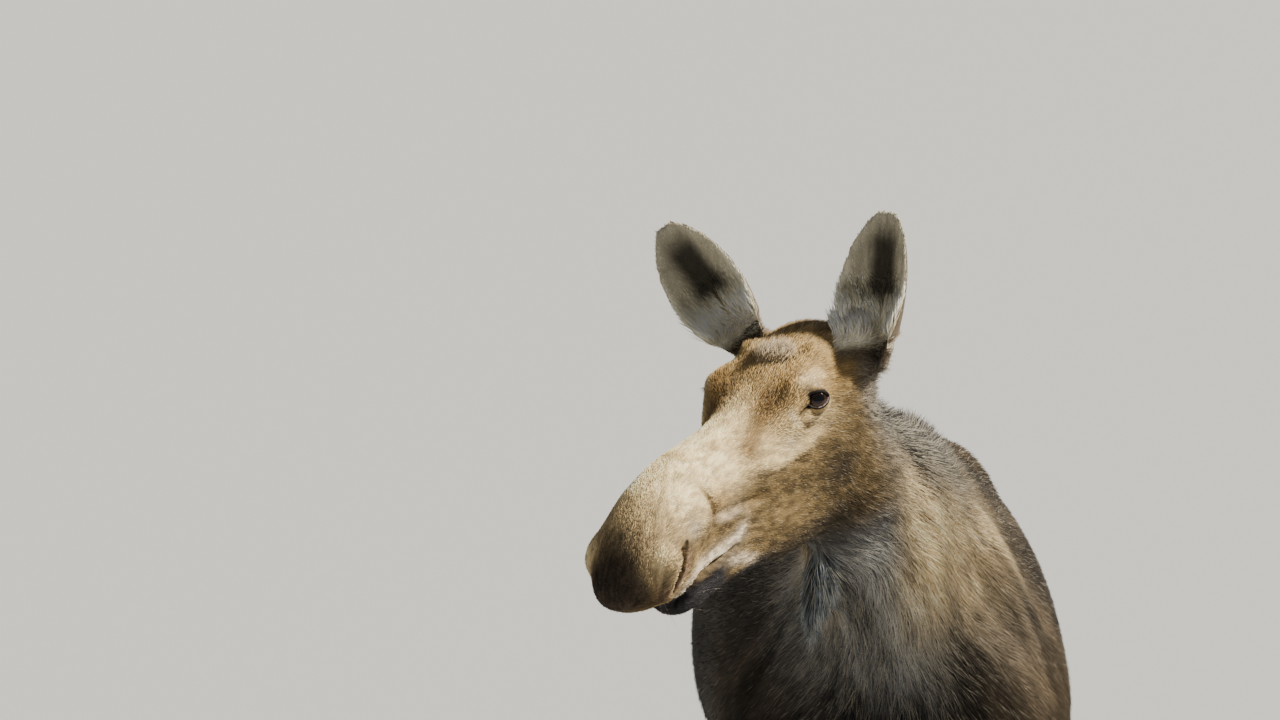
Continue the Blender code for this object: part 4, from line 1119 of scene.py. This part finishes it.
def grown_piece(name, kind, chosen, unwrap):
    """One joined mesh of all the chosen tufts."""
    places, colours = tuft_corners(kind, chosen)
    count, corner_count = places.shape[:2]
    faces = np.array(kind["faces"])
    index = (np.arange(count)[:, None, None] * corner_count + faces).reshape(-1, 3)
    mesh = bpy.data.meshes.new(name)
    mesh.vertices.add(count * corner_count)
    write(mesh.vertices, "co", places)
    mesh.loops.add(index.size)
    write(mesh.loops, "vertex_index", index, np.int32)
    mesh.polygons.add(len(index))
    write(mesh.polygons, "loop_start", np.arange(0, index.size, 3), np.int32)
    mesh.update(calc_edges=True)
    with_colours(mesh, np.clip(colours.reshape(-1, 3), 0, 1))
    u, v = unwrap(roots[chosen], root_normals[chosen])
    edge = 2 * PATCH_HALF
    at = np.stack((spread(u), spread(v)), 1) * (1 - 2 * edge) + edge
    uv = at[:, None, :] + np.array(kind["patch"]) * PATCH_HALF
    write(mesh.uv_layers.new(name="OFBake").data, "uv", uv.reshape(-1, 2)[index.ravel()])
    piece = placed(mesh, coat_material)
    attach(piece, "root")


coat_material, tree, shader = finish_of("guard_hair", Roughness=0.6, Specular_IOR_Level=0.12)
plug(dyed(0.87 + noise(object_place(tree), 34.0, 3.0) * 0.26), shader, "Base Color")

# Each piece takes the tufts that it wants of those that are left
x, y, z = roots.T
nose = in_head(roots)[:, 1] < -0.36
ear_part = on_ear(roots) > 0.5
head_part = ~ear_part & (facing(roots) > 0.5)
leg_part = z < 0.9
neck_part = (y < -0.28) & (z > 1.38)
shoulder_part = y < 0.12
regions = [
    ("coat_muzzle", SPIKE, head_part & nose, unwrap_head),
    ("coat_cheeks", SPIKE, head_part & ~nose, unwrap_head),
    ("coat_ears", LOCK, ear_part, unwrap_ears),
    ("coat_forelegs", SPIKE, leg_part & (y < 0.3), unwrap_legs),
    ("coat_hindlegs", SPIKE, leg_part & (y >= 0.3), unwrap_legs),
    ("coat_neck", SPIKE, neck_part, unwrap_neck),
    ("coat_left_shoulder", SPIKE, shoulder_part & (x > BODY_MIDDLE), unwrap_trunk),
    ("coat_right_shoulder", SPIKE, shoulder_part, unwrap_trunk),
    ("coat_barrel", SPIKE, y < 0.62, unwrap_trunk),
    ("coat_rump", SPIKE, np.ones(len(roots), bool), unwrap_trunk),
]
free = np.ones(len(roots), bool)
for name, kind, wanted, unwrap in regions:
    chosen = np.nonzero(free & wanted)[0]
    free[chosen] = False
    grown_piece(name, kind, chosen, unwrap)

# ============ camera, floor and light
# A plain pale floor, soft sky light and one low warm lamp from the animal's upper left.  The
# camera stands in front of the animal, a little above its eyes, with a long lens.
EYE_TO_CAMERA = Vector((-0.9851, -11.8013, 2.6895))
CAMERA_AZIMUTH, CAMERA_PITCH = -3.4, 12.5
SENSOR_WIDTH, LENS, FARTHEST = 36, 212.625, 200
FLOOR_HALF, FLOOR_GREY = 60, (0.46, 0.46, 0.45, 1)
SKY_COLOUR, SKY_STRENGTH = (0.93, 0.95, 1.0, 1), 0.31
KEY_COLOUR, KEY_ENERGY, KEY_ANGLE = (1.0, 0.95, 0.86), 9.0, math.radians(4)
KEY_DIRECTION = Vector((-0.73, -0.04, -0.68))

camera = bpy.data.objects.new("camera", bpy.data.cameras.new("camera"))
link(camera)
camera.data.sensor_width = SENSOR_WIDTH
camera.data.lens = LENS
camera.data.clip_end = FARTHEST
camera.location = Vector(left_eye) + EYE_TO_CAMERA
camera.rotation_euler = math.radians(90 - CAMERA_PITCH), 0, math.radians(CAMERA_AZIMUTH)
bpy.context.scene.camera = camera

floor_material, *_ = finish_of("floor", Roughness=0.9, Base_Color=FLOOR_GREY)
bm = bmesh.new()
bmesh.ops.create_grid(bm, x_segments=1, y_segments=1, size=FLOOR_HALF)
floor = placed(mesh_of(bm, "floor"), floor_material)

world = bpy.data.worlds.new("studio")
bpy.context.scene.world = world
world.use_nodes = True
sky = world.node_tree.nodes["Background"]
sky.inputs["Color"].default_value = SKY_COLOUR
sky.inputs["Strength"].default_value = SKY_STRENGTH
key = bpy.data.objects.new("key", bpy.data.lights.new("key", "SUN"))
link(key)
key.data.energy = KEY_ENERGY
key.data.color = KEY_COLOUR
key.data.angle = KEY_ANGLE
key.rotation_euler = KEY_DIRECTION.to_track_quat("-Z", "Y").to_euler()
